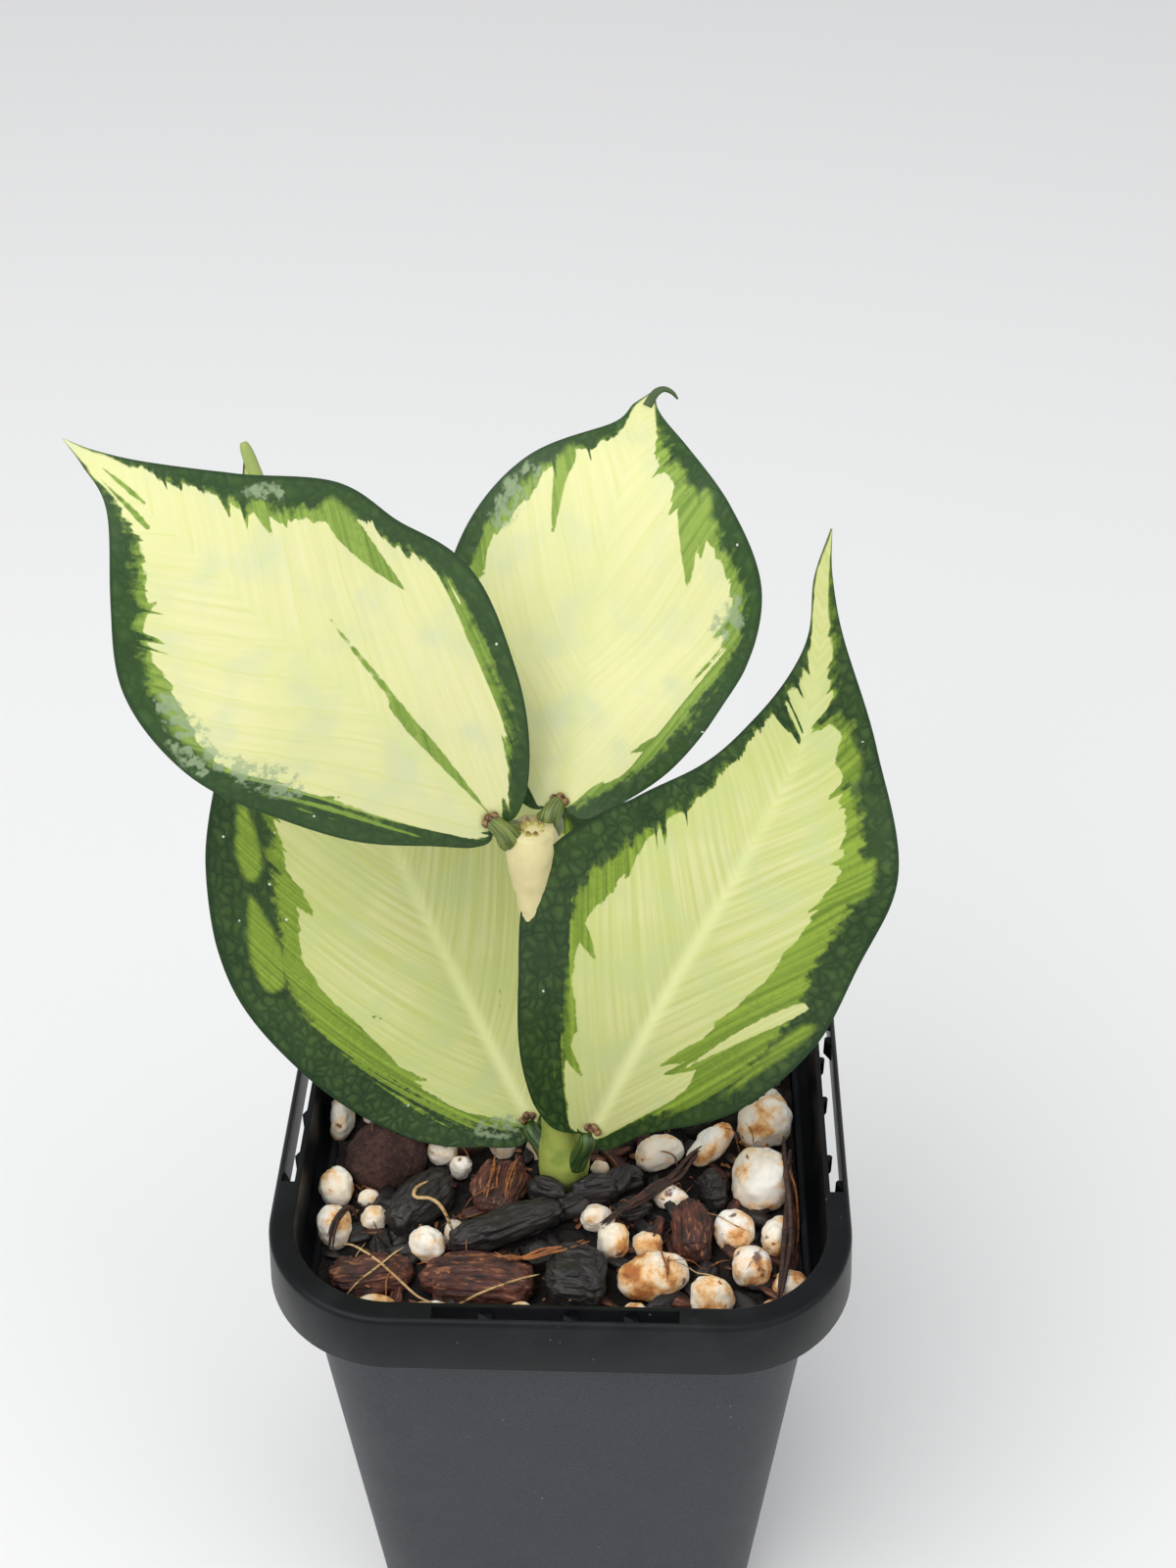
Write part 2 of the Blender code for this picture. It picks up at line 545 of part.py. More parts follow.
def leaf_blade(name, leaf, finish):
    """A closed blade: two faces split alike, joined round the margin, with one vertex at each end."""
    place = np.linspace(0, 1, LEAF_ROWS + 1)
    side = np.array(LEAF_COLUMNS, float)
    upper, normals = leaf_surface(leaf, place, side)
    thick = leaf_thickness(place[:, None], side[None, :])
    lower = upper - normals * thick[..., None]
    columns = len(side)
    middle = columns // 2
    rows = LEAF_ROWS - 1
    per_face = rows * columns
    verts = []
    for sheet in (upper, lower):
        verts += list(sheet[1:-1].reshape(-1, 3))
    for sheet in (upper, lower):
        verts += [sheet[0, middle], sheet[-1, middle]]
    foot = {0: 2 * per_face, 1: 2 * per_face + 2}
    tip = {0: 2 * per_face + 1, 1: 2 * per_face + 3}
    faces = []
    for sheet in (0, 1):
        def at(row, column):
            return sheet * per_face + row * columns + column
        found = []
        for column in range(columns - 1):
            found.append((foot[sheet], at(0, column + 1), at(0, column)))
            for row in range(rows - 1):
                a, b = at(row, column), at(row, column + 1)
                c, d = at(row + 1, column + 1), at(row + 1, column)
                found += [(a, b, c), (a, c, d)] if column < middle else [(a, b, d), (b, c, d)]
            found.append((at(rows - 1, column), at(rows - 1, column + 1), tip[sheet]))
        faces += found if sheet == 0 else [face[::-1] for face in found]
    for column, outward in ((0, True), (columns - 1, False)):
        rim = [row * columns + column for row in range(rows)]
        upper_rim = [foot[0]] + rim + [tip[0]]
        lower_rim = [foot[1]] + [per_face + i for i in rim] + [tip[1]]
        for i in range(len(upper_rim) - 1):
            wall = (upper_rim[i], upper_rim[i + 1], lower_rim[i + 1], lower_rim[i])
            faces.append(wall if outward else wall[::-1])
    return mesh_object(name, verts, faces, finish)


def make_leaf(name, leaf, finish):
    """One leaf: its blade and its stalk joined. The stalk's end runs into the midrib from below."""
    blade = leaf_blade(name, leaf, finish)
    surface, normals = leaf_surface(leaf, [0.0, 0.22], [0.0])
    foot, inner = surface[0, 0], surface[1, 0]
    start, under = [np.array(point) * MM for point in leaf["stalk"]]
    run = inner + normals[1, 0] * (-1.0 * MM)
    points = [start, (start + under) / 2, under, foot - normals[0, 0] * 1.0 * MM, run]
    radii = [1.9 * MM, 1.6 * MM, 1.5 * MM, 1.3 * MM, 0.7 * MM]
    verts, faces = loft(tube(points, radii, 8))
    stalk = mesh_object(name + "_stalk", verts, faces)
    boolean(blade, [stalk], "UNION")
    boolean(blade, [stem_loft("stem_seat", 1.1 * GAP)], "DIFFERENCE")
    return blade


def make_everything():
    clear_scene()
    make_pot()
    mix_finish = material("dark_mix", (0.035, 0.022, 0.016), 0.9)
    white = material("white_perlite", (0.80, 0.74, 0.64), 0.85)
    brown = material("brown_scoria", (0.14, 0.075, 0.055), 0.9)
    husk = material("husk_brown", (0.16, 0.055, 0.035), 0.8)
    black = material("black_charcoal", (0.018, 0.017, 0.018), 0.55)
    green = material("stem_green", (0.50, 0.58, 0.22), 0.45)
    mix = make_mix(mix_finish)
    pockets = []
    kinds = [
        ("perlite", PERLITE, 0.10, 1.0, white), ("scoria_pebble", SCORIA, 0.05, 1.0, brown),
        ("bark_chip", BARK, 0.06, 0.55, husk), ("charcoal", CHARCOAL, 0.08, 0.6, black),
    ]
    for kind, places, rough, boxy, finish in kinds:
        pockets += lumps(kind, places, rough, boxy, finish)[1]
    boolean(mix, grains(), "UNION", "MANIFOLD")
    hole_top = [(STEM_PROFILE[0][1] * MM, STEM_PROFILE[0][2] * MM, 63.7 * MM), (0.1 * MM, -9.1 * MM, 99 * MM)]
    verts, faces = loft(tube(hole_top, [HOLE_RADIUS, HOLE_RADIUS], 12))
    boolean(mix, pockets + [mesh_object("stem_hole", verts, faces)], "DIFFERENCE", "MANIFOLD")
    make_stem(green)
    blade = material("variegated_leaf", (0.62, 0.68, 0.30), 0.4)
    for name, leaf in LEAVES.items():
        make_leaf(name, leaf, blade)


make_everything()
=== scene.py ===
# %% [markdown]
# # A potted hoya, dressed for its portrait
# The solids of the pot, the mix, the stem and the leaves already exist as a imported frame. This notebook builds
# the surfaces that the eye sees: waxy variegated blades with feathered margins, a satin black pot, and a mix of
# perlite, husk and charcoal. Every shape is worked out with numpy as whole arrays, and every finish is a small
# network of shader nodes written as arithmetic.

# %% Load the frame
import math
import random

import bmesh
import bpy
import numpy as np
from mathutils import Matrix, Vector


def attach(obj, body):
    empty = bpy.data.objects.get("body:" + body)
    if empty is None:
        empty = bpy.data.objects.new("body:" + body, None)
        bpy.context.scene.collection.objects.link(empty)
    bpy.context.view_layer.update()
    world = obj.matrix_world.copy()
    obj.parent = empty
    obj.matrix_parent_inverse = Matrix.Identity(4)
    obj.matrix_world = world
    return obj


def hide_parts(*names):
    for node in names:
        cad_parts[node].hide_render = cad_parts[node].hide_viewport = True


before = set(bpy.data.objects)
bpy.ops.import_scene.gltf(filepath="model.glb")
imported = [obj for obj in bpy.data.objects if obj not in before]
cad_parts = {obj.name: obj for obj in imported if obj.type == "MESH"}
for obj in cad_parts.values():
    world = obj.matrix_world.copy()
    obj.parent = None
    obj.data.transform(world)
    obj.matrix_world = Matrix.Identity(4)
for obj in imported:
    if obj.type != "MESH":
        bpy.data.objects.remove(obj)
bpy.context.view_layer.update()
MM = 0.001

# %% [markdown]
# The camera stands where the photographer's did: a little above half a metre from the leaf tips, looking down
# at 38 degrees. Its height, turn and lens follow from the pot's rim, whose straight sides give the vanishing
# points. The picture is 1200 by 1600, so the lens is the focal length in pixels, scaled to a 36 mm long side.

# %% Camera
CAMERA_PLACE = np.array([10.9, -229.9, 344.9]) * MM
CAMERA_YAW, CAMERA_PITCH, CAMERA_ROLL = np.radians([-1.81, -38.44, -0.26])
FOCAL_PIXELS = 2200
PICTURE_HIGH = 1600


def camera_axes(yaw, pitch, roll):
    """Right, up and forward: a level heading turned by yaw, tipped by pitch and rolled about itself."""
    forward = np.array([math.sin(yaw) * math.cos(pitch), math.cos(yaw) * math.cos(pitch), math.sin(pitch)])
    level = np.array([math.cos(yaw), -math.sin(yaw), 0.0])
    above = np.cross(level, forward)
    right = math.cos(roll) * level + math.sin(roll) * above
    up = -math.sin(roll) * level + math.cos(roll) * above
    return right, up, forward


right, up, forward = camera_axes(CAMERA_YAW, CAMERA_PITCH, CAMERA_ROLL)
camera = bpy.data.objects.new("camera", bpy.data.cameras.new("camera"))
camera.data.sensor_width = 36
camera.data.lens = FOCAL_PIXELS / PICTURE_HIGH * camera.data.sensor_width
camera.data.clip_start = 0.01
camera.matrix_world = Matrix([[*row] for row in np.column_stack([right, up, -forward])]).to_4x4()
camera.location = CAMERA_PLACE
bpy.context.scene.collection.objects.link(camera)
bpy.context.scene.camera = camera
bpy.context.scene.view_settings.view_transform = "Standard"
print("lens in mm:", round(camera.data.lens, 1))

# %% [markdown]
# Shader maths reads best as arithmetic. `Value` wraps one output socket, so that `a * b + 0.3` adds the two Math
# nodes that it needs, and `Shader.node` makes any other node from its type, its settings and its inputs.


# %% Shader arithmetic
class Value:
    """One number that varies over a surface, as the output socket of a node."""

    def __init__(self, shader, socket):
        self.shader = shader
        self.socket = socket

    def math(self, operation, *others, clamp=False):
        inputs = {index: item for index, item in enumerate((self, *others))}
        return self.shader.node("ShaderNodeMath", {"operation": operation, "use_clamp": clamp}, inputs)

    def __add__(self, other):
        return self.math("ADD", other)

    def __sub__(self, other):
        return self.math("SUBTRACT", other)

    def __rsub__(self, other):
        return self.math("MULTIPLY_ADD", -1.0, other)

    def __mul__(self, other):
        return self.math("MULTIPLY", other)

    def __truediv__(self, other):
        return self.math("DIVIDE", other)

    def __pow__(self, other):
        return self.math("POWER", other)

    def __abs__(self):
        return self.math("ABSOLUTE")

    __radd__ = __add__
    __rmul__ = __mul__

    def clamp(self):
        return self.math("ADD", 0.0, clamp=True)

    def step(self, start, end):
        """Rises smoothly from 0 at start to 1 at end, or falls where end is the lower."""
        settings = {"interpolation_type": "SMOOTHSTEP"}
        low, high, first, last = (start, end, 0.0, 1.0) if start < end else (end, start, 1.0, 0.0)
        return self.shader.node("ShaderNodeMapRange", settings, {0: self, 1: low, 2: high, 3: first, 4: last})


class Shader:
    """One material under construction."""

    def __init__(self, name):
        self.material = bpy.data.materials.new(name)
        self.material.use_nodes = True
        self.tree = self.material.node_tree
        self.surface = self.tree.nodes["Principled BSDF"]

    def node(self, kind, settings=None, inputs=None, output=0):
        """Adds a node: its settings first, then what its sockets hold, by number or name."""
        made = self.tree.nodes.new(kind)
        for name, item in (settings or {}).items():
            setattr(made, name, item)
        for key, item in (inputs or {}).items():
            socket = made.inputs[key]
            if isinstance(item, Value):
                self.tree.links.new(item.socket, socket)
            else:
                socket.default_value = item
        return Value(self, made.outputs[output])

    def mix(self, share, first, second):
        """A colour between two, by a share from 0 to 1."""
        colours = [item if isinstance(item, Value) else (*item, 1) for item in (first, second)]
        return self.node("ShaderNodeMix", {"data_type": "RGBA"}, {0: share, 6: colours[0], 7: colours[1]}, output=2)

    def place(self):
        return self.node("ShaderNodeTexCoord", output=3)

    def attribute(self, name, output=2):
        return self.node("ShaderNodeAttribute", {"attribute_name": name}, output=output)

    def parts(self, vector):
        """The three numbers of a vector or a colour."""
        split = self.node("ShaderNodeSeparateXYZ", {}, {0: vector}).socket.node
        return [Value(self, split.outputs[index]) for index in range(3)]

    def vector(self, x, y, z=0.0):
        return self.node("ShaderNodeCombineXYZ", {}, {0: x, 1: y, 2: z})

    def scaled(self, vector, factors):
        """A vector stretched along each axis."""
        return self.node("ShaderNodeVectorMath", {"operation": "MULTIPLY"}, {0: vector, 1: factors})

    def noise(self, vector, scale, detail=3.0, roughness=0.55):
        inputs = {"Vector": vector, "Scale": scale, "Detail": detail, "Roughness": roughness}
        return self.node("ShaderNodeTexNoise", {}, inputs)

    def cells(self, vector, scale, feature="DISTANCE_TO_EDGE"):
        return self.node("ShaderNodeTexVoronoi", {"feature": feature}, {"Vector": vector, "Scale": scale})

    def bump(self, height, distance, strength=1.0):
        return self.node("ShaderNodeBump", {}, {"Height": height, "Distance": distance, "Strength": strength})

    def finish(self, **sockets):
        """Sets the Principled sockets, whose names are written with underscores."""
        for name, item in sockets.items():
            socket = self.surface.inputs[name.replace("_", " ").title().replace("Ior", "IOR")]
            if isinstance(item, Value):
                self.tree.links.new(item.socket, socket)
            else:
                socket.default_value = (*item, 1) if socket.type == "RGBA" else item
        return self.material


# %% [markdown]
# A studio table needs only a wide pale floor and soft light. One large panel hangs over the plant and a little
# to the left, a smaller one fills from the front right, and the sky is an even pale grey.

# %% Floor and light
FLOOR_HALF = 4.0
PANELS = {
    "key": dict(place=(-0.40, -0.45, 0.95), aim=(0, 0, 0.12), size=0.9, power=7.5),
    "fill": dict(place=(0.75, -0.45, 0.60), aim=(0, 0, 0.10), size=0.8, power=2.2),
}
SKY = (0.97, 0.98, 1.0)
SKY_STRENGTH = 0.66


def floor_finish():
    shader = Shader("studio_floor")
    return shader.finish(base_color=(0.86, 0.86, 0.855), roughness=0.7)


def make_floor():
    """A flat square just under the pot."""
    mesh = bpy.data.meshes.new("floor")
    corners = [(x * FLOOR_HALF, y * FLOOR_HALF, -0.0002) for x, y in ((-1, -1), (1, -1), (1, 1), (-1, 1))]
    mesh.from_pydata(corners, [], [(0, 1, 2, 3)])
    mesh.materials.append(floor_finish())
    floor = bpy.data.objects.new("floor", mesh)
    bpy.context.scene.collection.objects.link(floor)


def make_lights():
    """Square panels that face what they light, under an even sky."""
    for name, panel in PANELS.items():
        lamp = bpy.data.lights.new(name, "AREA")
        lamp.shape = "SQUARE"
        lamp.size = panel["size"]
        lamp.energy = panel["power"]
        holder = bpy.data.objects.new(name, lamp)
        holder.location = panel["place"]
        aim = Vector(panel["aim"]) - Vector(panel["place"])
        holder.rotation_euler = aim.to_track_quat("-Z", "Y").to_euler()
        bpy.context.scene.collection.objects.link(holder)
    world = bpy.data.worlds.new("sky")
    world.use_nodes = True
    sky = world.node_tree.nodes["Background"]
    sky.inputs[0].default_value = (*SKY, 1)
    sky.inputs[1].default_value = SKY_STRENGTH
    bpy.context.scene.world = world


make_floor()
make_lights()
print("lights:", list(PANELS))

# %% [markdown]
# Every piece below is a closed tube of rings: a section carried along a path. The rings are rows of one array,
# so the faces are an index grid, and a flat fan closes each end. A pole is a ring that has shrunk to a point.


# %% Rings into a mesh
def ring_mesh(name, rings, finish, cap_start=True, cap_end=True):
    """A mesh from rings[row, point, xyz]. Rings run anticlockwise seen from the path's end."""
    rows, count, _ = rings.shape
    here = np.arange(rows * count).reshape(rows, count)
    ahead = np.roll(here, -1, axis=1)
    quads = np.stack([here[:-1], ahead[:-1], ahead[1:], here[1:]], axis=-1).reshape(-1, 4)
    verts = rings.reshape(-1, 3)
    fans = []
    for wanted, row, turned in ((cap_start, 0, True), (cap_end, rows - 1, False)):
        if wanted:
            centre = len(verts)
            verts = np.vstack([verts, rings[row].mean(axis=0)])
            pair = (ahead[row], here[row]) if turned else (here[row], ahead[row])
            fans.append(np.stack([*pair, np.full(count, centre)], axis=-1))
    mesh = bpy.data.meshes.new(name)
    mesh.from_pydata(verts.tolist(), [], quads.tolist() + [face for fan in fans for face in fan.tolist()])
    mesh.shade_smooth()
    mesh.materials.append(finish)
    piece = bpy.data.objects.new(name, mesh)
    bpy.context.scene.collection.objects.link(piece)
    return piece


def store(piece, name, values, kind="FLOAT_COLOR"):
    """Writes one value for each vertex into a named attribute of the mesh."""
    width = {"FLOAT_COLOR": 4, "FLOAT_VECTOR": 3, "FLOAT": 1}[kind]
    field = {"FLOAT_COLOR": "color", "FLOAT_VECTOR": "vector", "FLOAT": "value"}[kind]
    full = np.zeros((len(piece.data.vertices), width), np.float32)
    full[: len(values), : values.shape[1]] = values
    piece.data.attributes.new(name, kind, "POINT").data.foreach_set(field, full.ravel())


def dress(piece, slot, *nodes):
    """Hands a finished piece to the frame: its body and the solids it stands for. The slot is not used."""
    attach(piece, "root")
    if nodes:
        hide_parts(*nodes)
    return piece


def unit(vectors):
    return vectors / np.linalg.norm(vectors, axis=-1, keepdims=True)


def curve_through(points, where):
    """A smooth curve through evenly spaced points (Catmull-Rom), read at fractions from 0 to 1."""
    knots = np.asarray(points, float).reshape(len(points), -1)
    slope = np.gradient(knots, axis=0)
    place = np.clip(np.asarray(where, float), 0, 1) * (len(knots) - 1)
    first = np.minimum(place.astype(int), len(knots) - 2)
    f = (place - first)[..., None]
    start, end, leave, arrive = knots[first], knots[first + 1], slope[first], slope[first + 1]
    return (
        (2 * f**3 - 3 * f**2 + 1) * start + (f**3 - 2 * f**2 + f) * leave
        + (3 * f**2 - 2 * f**3) * end + (f**3 - f**2) * arrive)


def tube_rings(path, radii, sides, flat=1.0, guide=(1.0, 0.0, 0.0)):
    """Rings square to a path: centre + radius * (cos a * right + flat * sin a * up)."""
    path = np.asarray(path, float)
    way = unit(np.gradient(path, axis=0))
    guide = np.asarray(guide, float)
    across = unit(guide - way * (way @ guide)[:, None])
    over = np.cross(way, across)
    angle = np.linspace(0, 2 * np.pi, sides, endpoint=False)
    reach = np.asarray(radii, float)[:, None, None]
    turn = np.cos(angle)[None, :, None] * across[:, None] + flat * np.sin(angle)[None, :, None] * over[:, None]
    return path[:, None] + reach * turn


# %% [markdown]
# A hoya leaf is a broad pointed blade. Its midrib is a smooth curve in space, and its two margins stand off it
# by half widths given at nine stations. A row of the grid leaves the midrib low and meets the margin higher up,
# as a side vein does, so that grid coordinates double as vein coordinates: `place` counts along the margin and
# `across` runs from -1 to 1. Markings that follow the veins are then simple shapes in these two numbers.

# %% Leaf shapes
STATIONS = [-0.02, 0.04, 0.14, 0.28, 0.44, 0.60, 0.74, 0.86, 0.94]
LEAVES = {
    "leaf_lower_left": dict(
        midrib=[(-5.3, -4, 99), (-14.5, 6, 113.5), (-25.5, 17, 133.5), (-37, 29, 158), (-46.5, 40, 191.5)],
        left=[3.5, 13.5, 21, 27.5, 31, 26.5, 15.5, 8.5, 3.5], right=[2, 11, 19.5, 27, 30.5, 26, 16, 8.5, 1.5],
        face=[(-80, 35), (-78, 36), (-80, 40)], rise_left=[-1, -2, 0], rise_right=[0, -1.2, 0],
        wave=(0.5, 3, 0.4), stalk=[(-2.6, -7.2, 96.2), (-5.2, -4.4, 98)]),
    "leaf_lower_right": dict(
        midrib=[(4, -13, 106.5), (15, -15, 138), (24.5, -13, 160), (32, -6, 177), (34.5, 4, 201)],
        left=[6, 13.5, 19, 24, 19.5, 11.5, 7, 1.8, 1.5], right=[3, 7, 16.5, 21, 20, 18.5, 10, 3.5, 0.8],
        face=[(-95, 25), (-92, 25), (-80, 30)], rise_left=[-4, -4, 2], rise_right=[2, 2, 4],
        wave=(0.6, 3, 1.8), stalk=[(1.9, -10.9, 98), (3.8, -12.6, 104.8)]),
    "leaf_upper_left": dict(
        midrib=[(-9, -3, 157.5), (-23.5, -7, 178.5), (-35.5, -8, 192.5), (-47, -6, 205.5), (-60, -1, 215.5)],
        left=[3, 8, 15, 19.5, 21, 18.5, 11.5, 3.2, 1], right=[3, 10, 17, 22.5, 21, 19, 10.5, 4.5, 1.5],
        face=[(-95, 40), (-92, 44), (-95, 50)], rise_left=[-2, -3.2, -1], rise_right=[-1, -2.4, 0],
        wave=(0.5, 3, 3.0), stalk=[(-6.6, -2.3, 154.4), (-8.6, -2.8, 156.4)]),
    "leaf_upper_right": dict(
        midrib=[(-0.5, 2, 157), (2, 10, 168.5), (4, 19, 177.5), (8, 30, 193.5), (12, 42, 200)],
        left=[4, 9.5, 15, 20, 22, 20.5, 14, 4, 2], right=[4, 9, 14.5, 19, 22, 22, 15, 7, 1.7],
        face=[(-100, 40), (-95, 44), (-90, 50)], rise_left=[-2, -2.4, -1], rise_right=[-1, -2, 0],
        wave=(0.5, 3, 5.0), stalk=[(-2.2, 0.7, 154.2), (-0.7, 1.6, 156)]),
}


def facing(azimuth, elevation):
    turn, lift = math.radians(azimuth), math.radians(elevation)
    return (math.cos(lift) * math.cos(turn), math.cos(lift) * math.sin(turn), math.sin(lift))


def flat_leaf(leaf, place, side):
    """Where a grid point lies on the pressed leaf: fraction along the midrib, and mm across it.

    Along is start + (margin - start) * |side|, and across is the half width there * side, where start is
    place to the power 1.5.
    """
    ends = np.array([0.0] + STATIONS + [1.0])
    widths = [np.array([0.0] + list(leaf[name]) + [0.0]) for name in ("left", "right")]
    margins = [curve_through(np.stack([ends, width], axis=1), place) for width in widths]
    margin = np.where((side < 0)[..., None], margins[0], margins[1])
    reach = np.abs(side)
    start = place**1.5
    return start + (margin[..., 0] - start) * reach, margin[..., 1] * side


def leaf_length(leaf):
    return np.linalg.norm(np.diff(np.array(leaf["midrib"], float), axis=0), axis=1).sum()


def leaf_surface(leaf, place, side):
    """Upper face in mm and its normals: midrib + right * x + normal * (rise * x^2 + swell at the margin)."""
    along, x = flat_leaf(leaf, place, side)
    held = np.clip(along, 0, 1)
    knots = leaf["midrib"]
    heading = unit(curve_through(knots, held + 0.001) - curve_through(knots, held - 0.001))
    middle = curve_through(knots, held) + heading * ((along - held) * leaf_length(leaf))[..., None]
    face = curve_through([facing(*way) for way in leaf["face"]], held)
    right = unit(np.cross(heading, face))
    normal = np.cross(right, heading)
    rises = [curve_through(leaf[name], held)[..., 0] for name in ("rise_left", "rise_right")]
    rise = np.where(x < 0, rises[0], rises[1]) / 20**2
    height, count, start_angle = leaf["wave"]
    swell = height * np.abs(side)**3 * np.sin(2 * np.pi * count * place + start_angle + np.sign(side))
    swell = swell * np.sin(np.pi * place)
    points = middle + right * x[..., None] + normal * (rise * x * x + swell)[..., None]
    normals = unit(normal - right * (2 * rise * x)[..., None])
    return points, normals


# %% [markdown]
# The variegation is a cream heart with a green margin whose inner edge is feathered along the side veins. For
# each half the depth of the margin is a short list of (place, across) pairs, drawn from the leaf. Where
# dark green turns to mid green is a second list. Strokes then add single fingers, streaks and grey patches:
# each is a tapered line between two grid points. The tones are stored in mm from their edge, so the shader can
# roughen that edge with noise and still keep it crisp.

# %% Leaf markings
MARKINGS = {
    "leaf_upper_left": dict(
        green_right=[(0, .97), (.10, .88), (.21, .88), (.30, .83), (.36, .81), (.44, .90), (.50, .89), (.54, .93),
                     (.60, .78), (.66, .76), (.70, .77), (.74, .89), (.80, .97), (1, 1)],
        green_left=[(0, .97), (.12, .94), (.21, .87), (.28, .75), (.34, .73), (.40, .79), (.49, .86), (.55, .80),
                    (.60, .77), (.65, .83), (.70, .76), (.75, .76), (.80, .89), (.90, .96), (1, 1)],
        deep_right=[(0, .97), (.20, .93), (.36, .88), (.50, .93), (.62, .86), (.70, .86), (.80, .97), (1, 1)],
        deep_left=[(0, .97), (.20, .93), (.33, .86), (.45, .90), (.60, .90), (.72, .88), (.85, .96), (1, 1)],
        strokes=[
            ("green", (.16, -.76), (.24, -.92), 0.9), ("green", (.34, -.62), (.37, -.84), 1.1),
            ("green", (.70, -.60), (.68, -.85), 1.0), ("green", (.765, .74), (.79, .95), 0.9),
            ("green", (.655, .57), (.68, .82), 1.2), ("mid", (.45, .66), (.60, .84), 2.3),
            ("green", (.245, .73), (.27, .90), 0.9), ("green", (.375, .74), (.39, .86), 0.8),
            ("green", (.58, .33), (.30, .115), 0.7), ("green", (.05, .30), (.385, .115), 1.2),
            ("green", (.93, .42), (.86, .18), 0.5),
            ("green", (.90, -.70), (.80, -.48), 0.6), ("grey", (.58, -.80), (.50, -.88), 2.0),
            ("grey", (.50, -.80), (.40, -.74), 1.6), ("grey", (.68, .88), (.66, .88), 0.7)]),
    "leaf_upper_right": dict(
        green_right=[(0, .90), (.10, .70), (.18, .66), (.27, .78), (.33, .72), (.40, .76), (.48, .78), (.54, .86),
                     (.60, .86), (.66, .82), (.71, .66), (.76, .68), (.80, .62), (.85, .74), (.91, .91), (1, 1)],
        green_left=[(0, .96), (.30, .94), (.50, .86), (.57, .82), (.62, .84), (.68, .81), (.71, .86), (.76, .88),
                    (.82, .89), (.90, .96), (1, 1)],
        deep_right=[(0, .92), (.15, .85), (.30, .90), (.45, .91), (.60, .94), (.75, .86), (.85, .86), (.92, .95),
                    (1, 1)],
        deep_left=[(0, .97), (.40, .94), (.60, .92), (.75, .93), (.90, .97), (1, 1)],
        strokes=[
            ("green", (.30, .55), (.36, .80), 1.3), ("green", (.80, .52), (.84, .80), 1.2),
            ("mid", (.62, .58), (.73, .74), 2.0), ("mid", (.65, .68), (.72, .86), 1.5),
            ("green", (.55, .72), (.58, .88), 1.0), ("green", (.66, -.46), (.73, -.82), 1.2),
            ("mid", (.70, -.62), (.74, -.84), 1.6), ("grey", (.60, .84), (.57, .80), 1.4),
            ("grey", (.70, -.86), (.64, -.86), 1.2), ("green", (.20, .55), (.26, .80), 0.8),
            ("green", (.57, -.76), (.60, -.88), 0.9)]),
    "leaf_lower_left": dict(
        green_right=[(0, .94), (.15, .86), (.30, .84), (.45, .86), (.60, .80), (.75, .84), (.88, .92), (1, 1)],
        green_left=[(0, .80), (.08, .60), (.14, .54), (.24, .58), (.32, .60), (.38, .57), (.44, .58), (.48, .63),
                    (.52, .66), (.56, .61), (.60, .61), (.65, .70), (.75, .76), (.90, .88), (1, 1)],
        deep_right=[(0, .96), (.30, .90), (.60, .88), (.90, .95), (1, 1)],
        deep_left=[(0, .86), (.10, .80), (.18, .80), (.27, .77), (.34, .77), (.42, .80), (.50, .78), (.56, .72),
                   (.62, .72), (.70, .80), (.85, .90), (1, 1)],
        strokes=[
            ("green", (.12, -.44), (.22, -.60), 1.2), ("green", (.31, -.48), (.38, -.68), 1.8),
            ("green", (.36, -.54), (.42, -.66), 1.5), ("green", (.555, -.50), (.60, -.68), 1.9),
            ("green", (.53, -.62), (.56, -.70), 1.0), ("mid", (.58, -.80), (.50, -.80), 3.2),
            ("mid", (.66, -.86), (.60, -.78), 2.4), ("green", (.44, -.50), (.43, -.44), 0.5),
            ("green", (.33, .10), (.42, .22), 0.25), ("grey", (.07, -.62), (.16, -.62), 2.2)]),
    "leaf_lower_right": dict(
        green_right=[(0, .92), (.10, .90), (.18, .84), (.24, .74), (.29, .62), (.33, .46), (.38, .42), (.43, .50),
                     (.48, .57), (.54, .62), (.60, .67), (.66, .73), (.73, .72), (.80, .76), (.86, .80), (.93, .75),
                     (1, .9)],
        green_left=[(0, .90), (.08, .74), (.14, .60), (.22, .60), (.28, .52), (.34, .61), (.40, .62), (.45, .62),
                    (.50, .68), (.54, .78), (.60, .82), (.66, .91), (.72, .95), (.80, .97), (1, 1)],
        deep_right=[(0, .94), (.10, .92), (.20, .88), (.30, .86), (.40, .82), (.50, .80), (.60, .84), (.70, .88),
                    (.80, .86), (.90, .88), (1, 1)],
        deep_left=[(0, .90), (.10, .72), (.20, .66), (.30, .66), (.36, .68), (.43, .77), (.50, .81), (.58, .86),
                   (.70, .96), (1, 1)],
        strokes=[
            ("green", (.20, -.32), (.26, -.62), 1.3), ("green", (.375, -.44), (.40, -.66), 1.6),
            ("green", (.43, -.56), (.46, -.72), 1.4), ("green", (.47, -.56), (.50, -.72), 1.2),
            ("green", (.28, .26), (.36, .50), 1.8), ("green", (.27, .34), (.33, .52), 1.2),
            ("green", (.28, .58), (.31, .82), 1.4), ("cream", (.29, .42), (.44, .80), 1.3),
            ("mid", (.62, .86), (.58, .72), 3.0), ("mid", (.74, .78), (.70, .76), 2.0),
            ("mid", (.34, .44), (.46, .66), 3.0), ("mid", (.30, .84), (.42, .90), 1.4)]),
}
STROKE_KINDS = ("green", "mid", "cream")


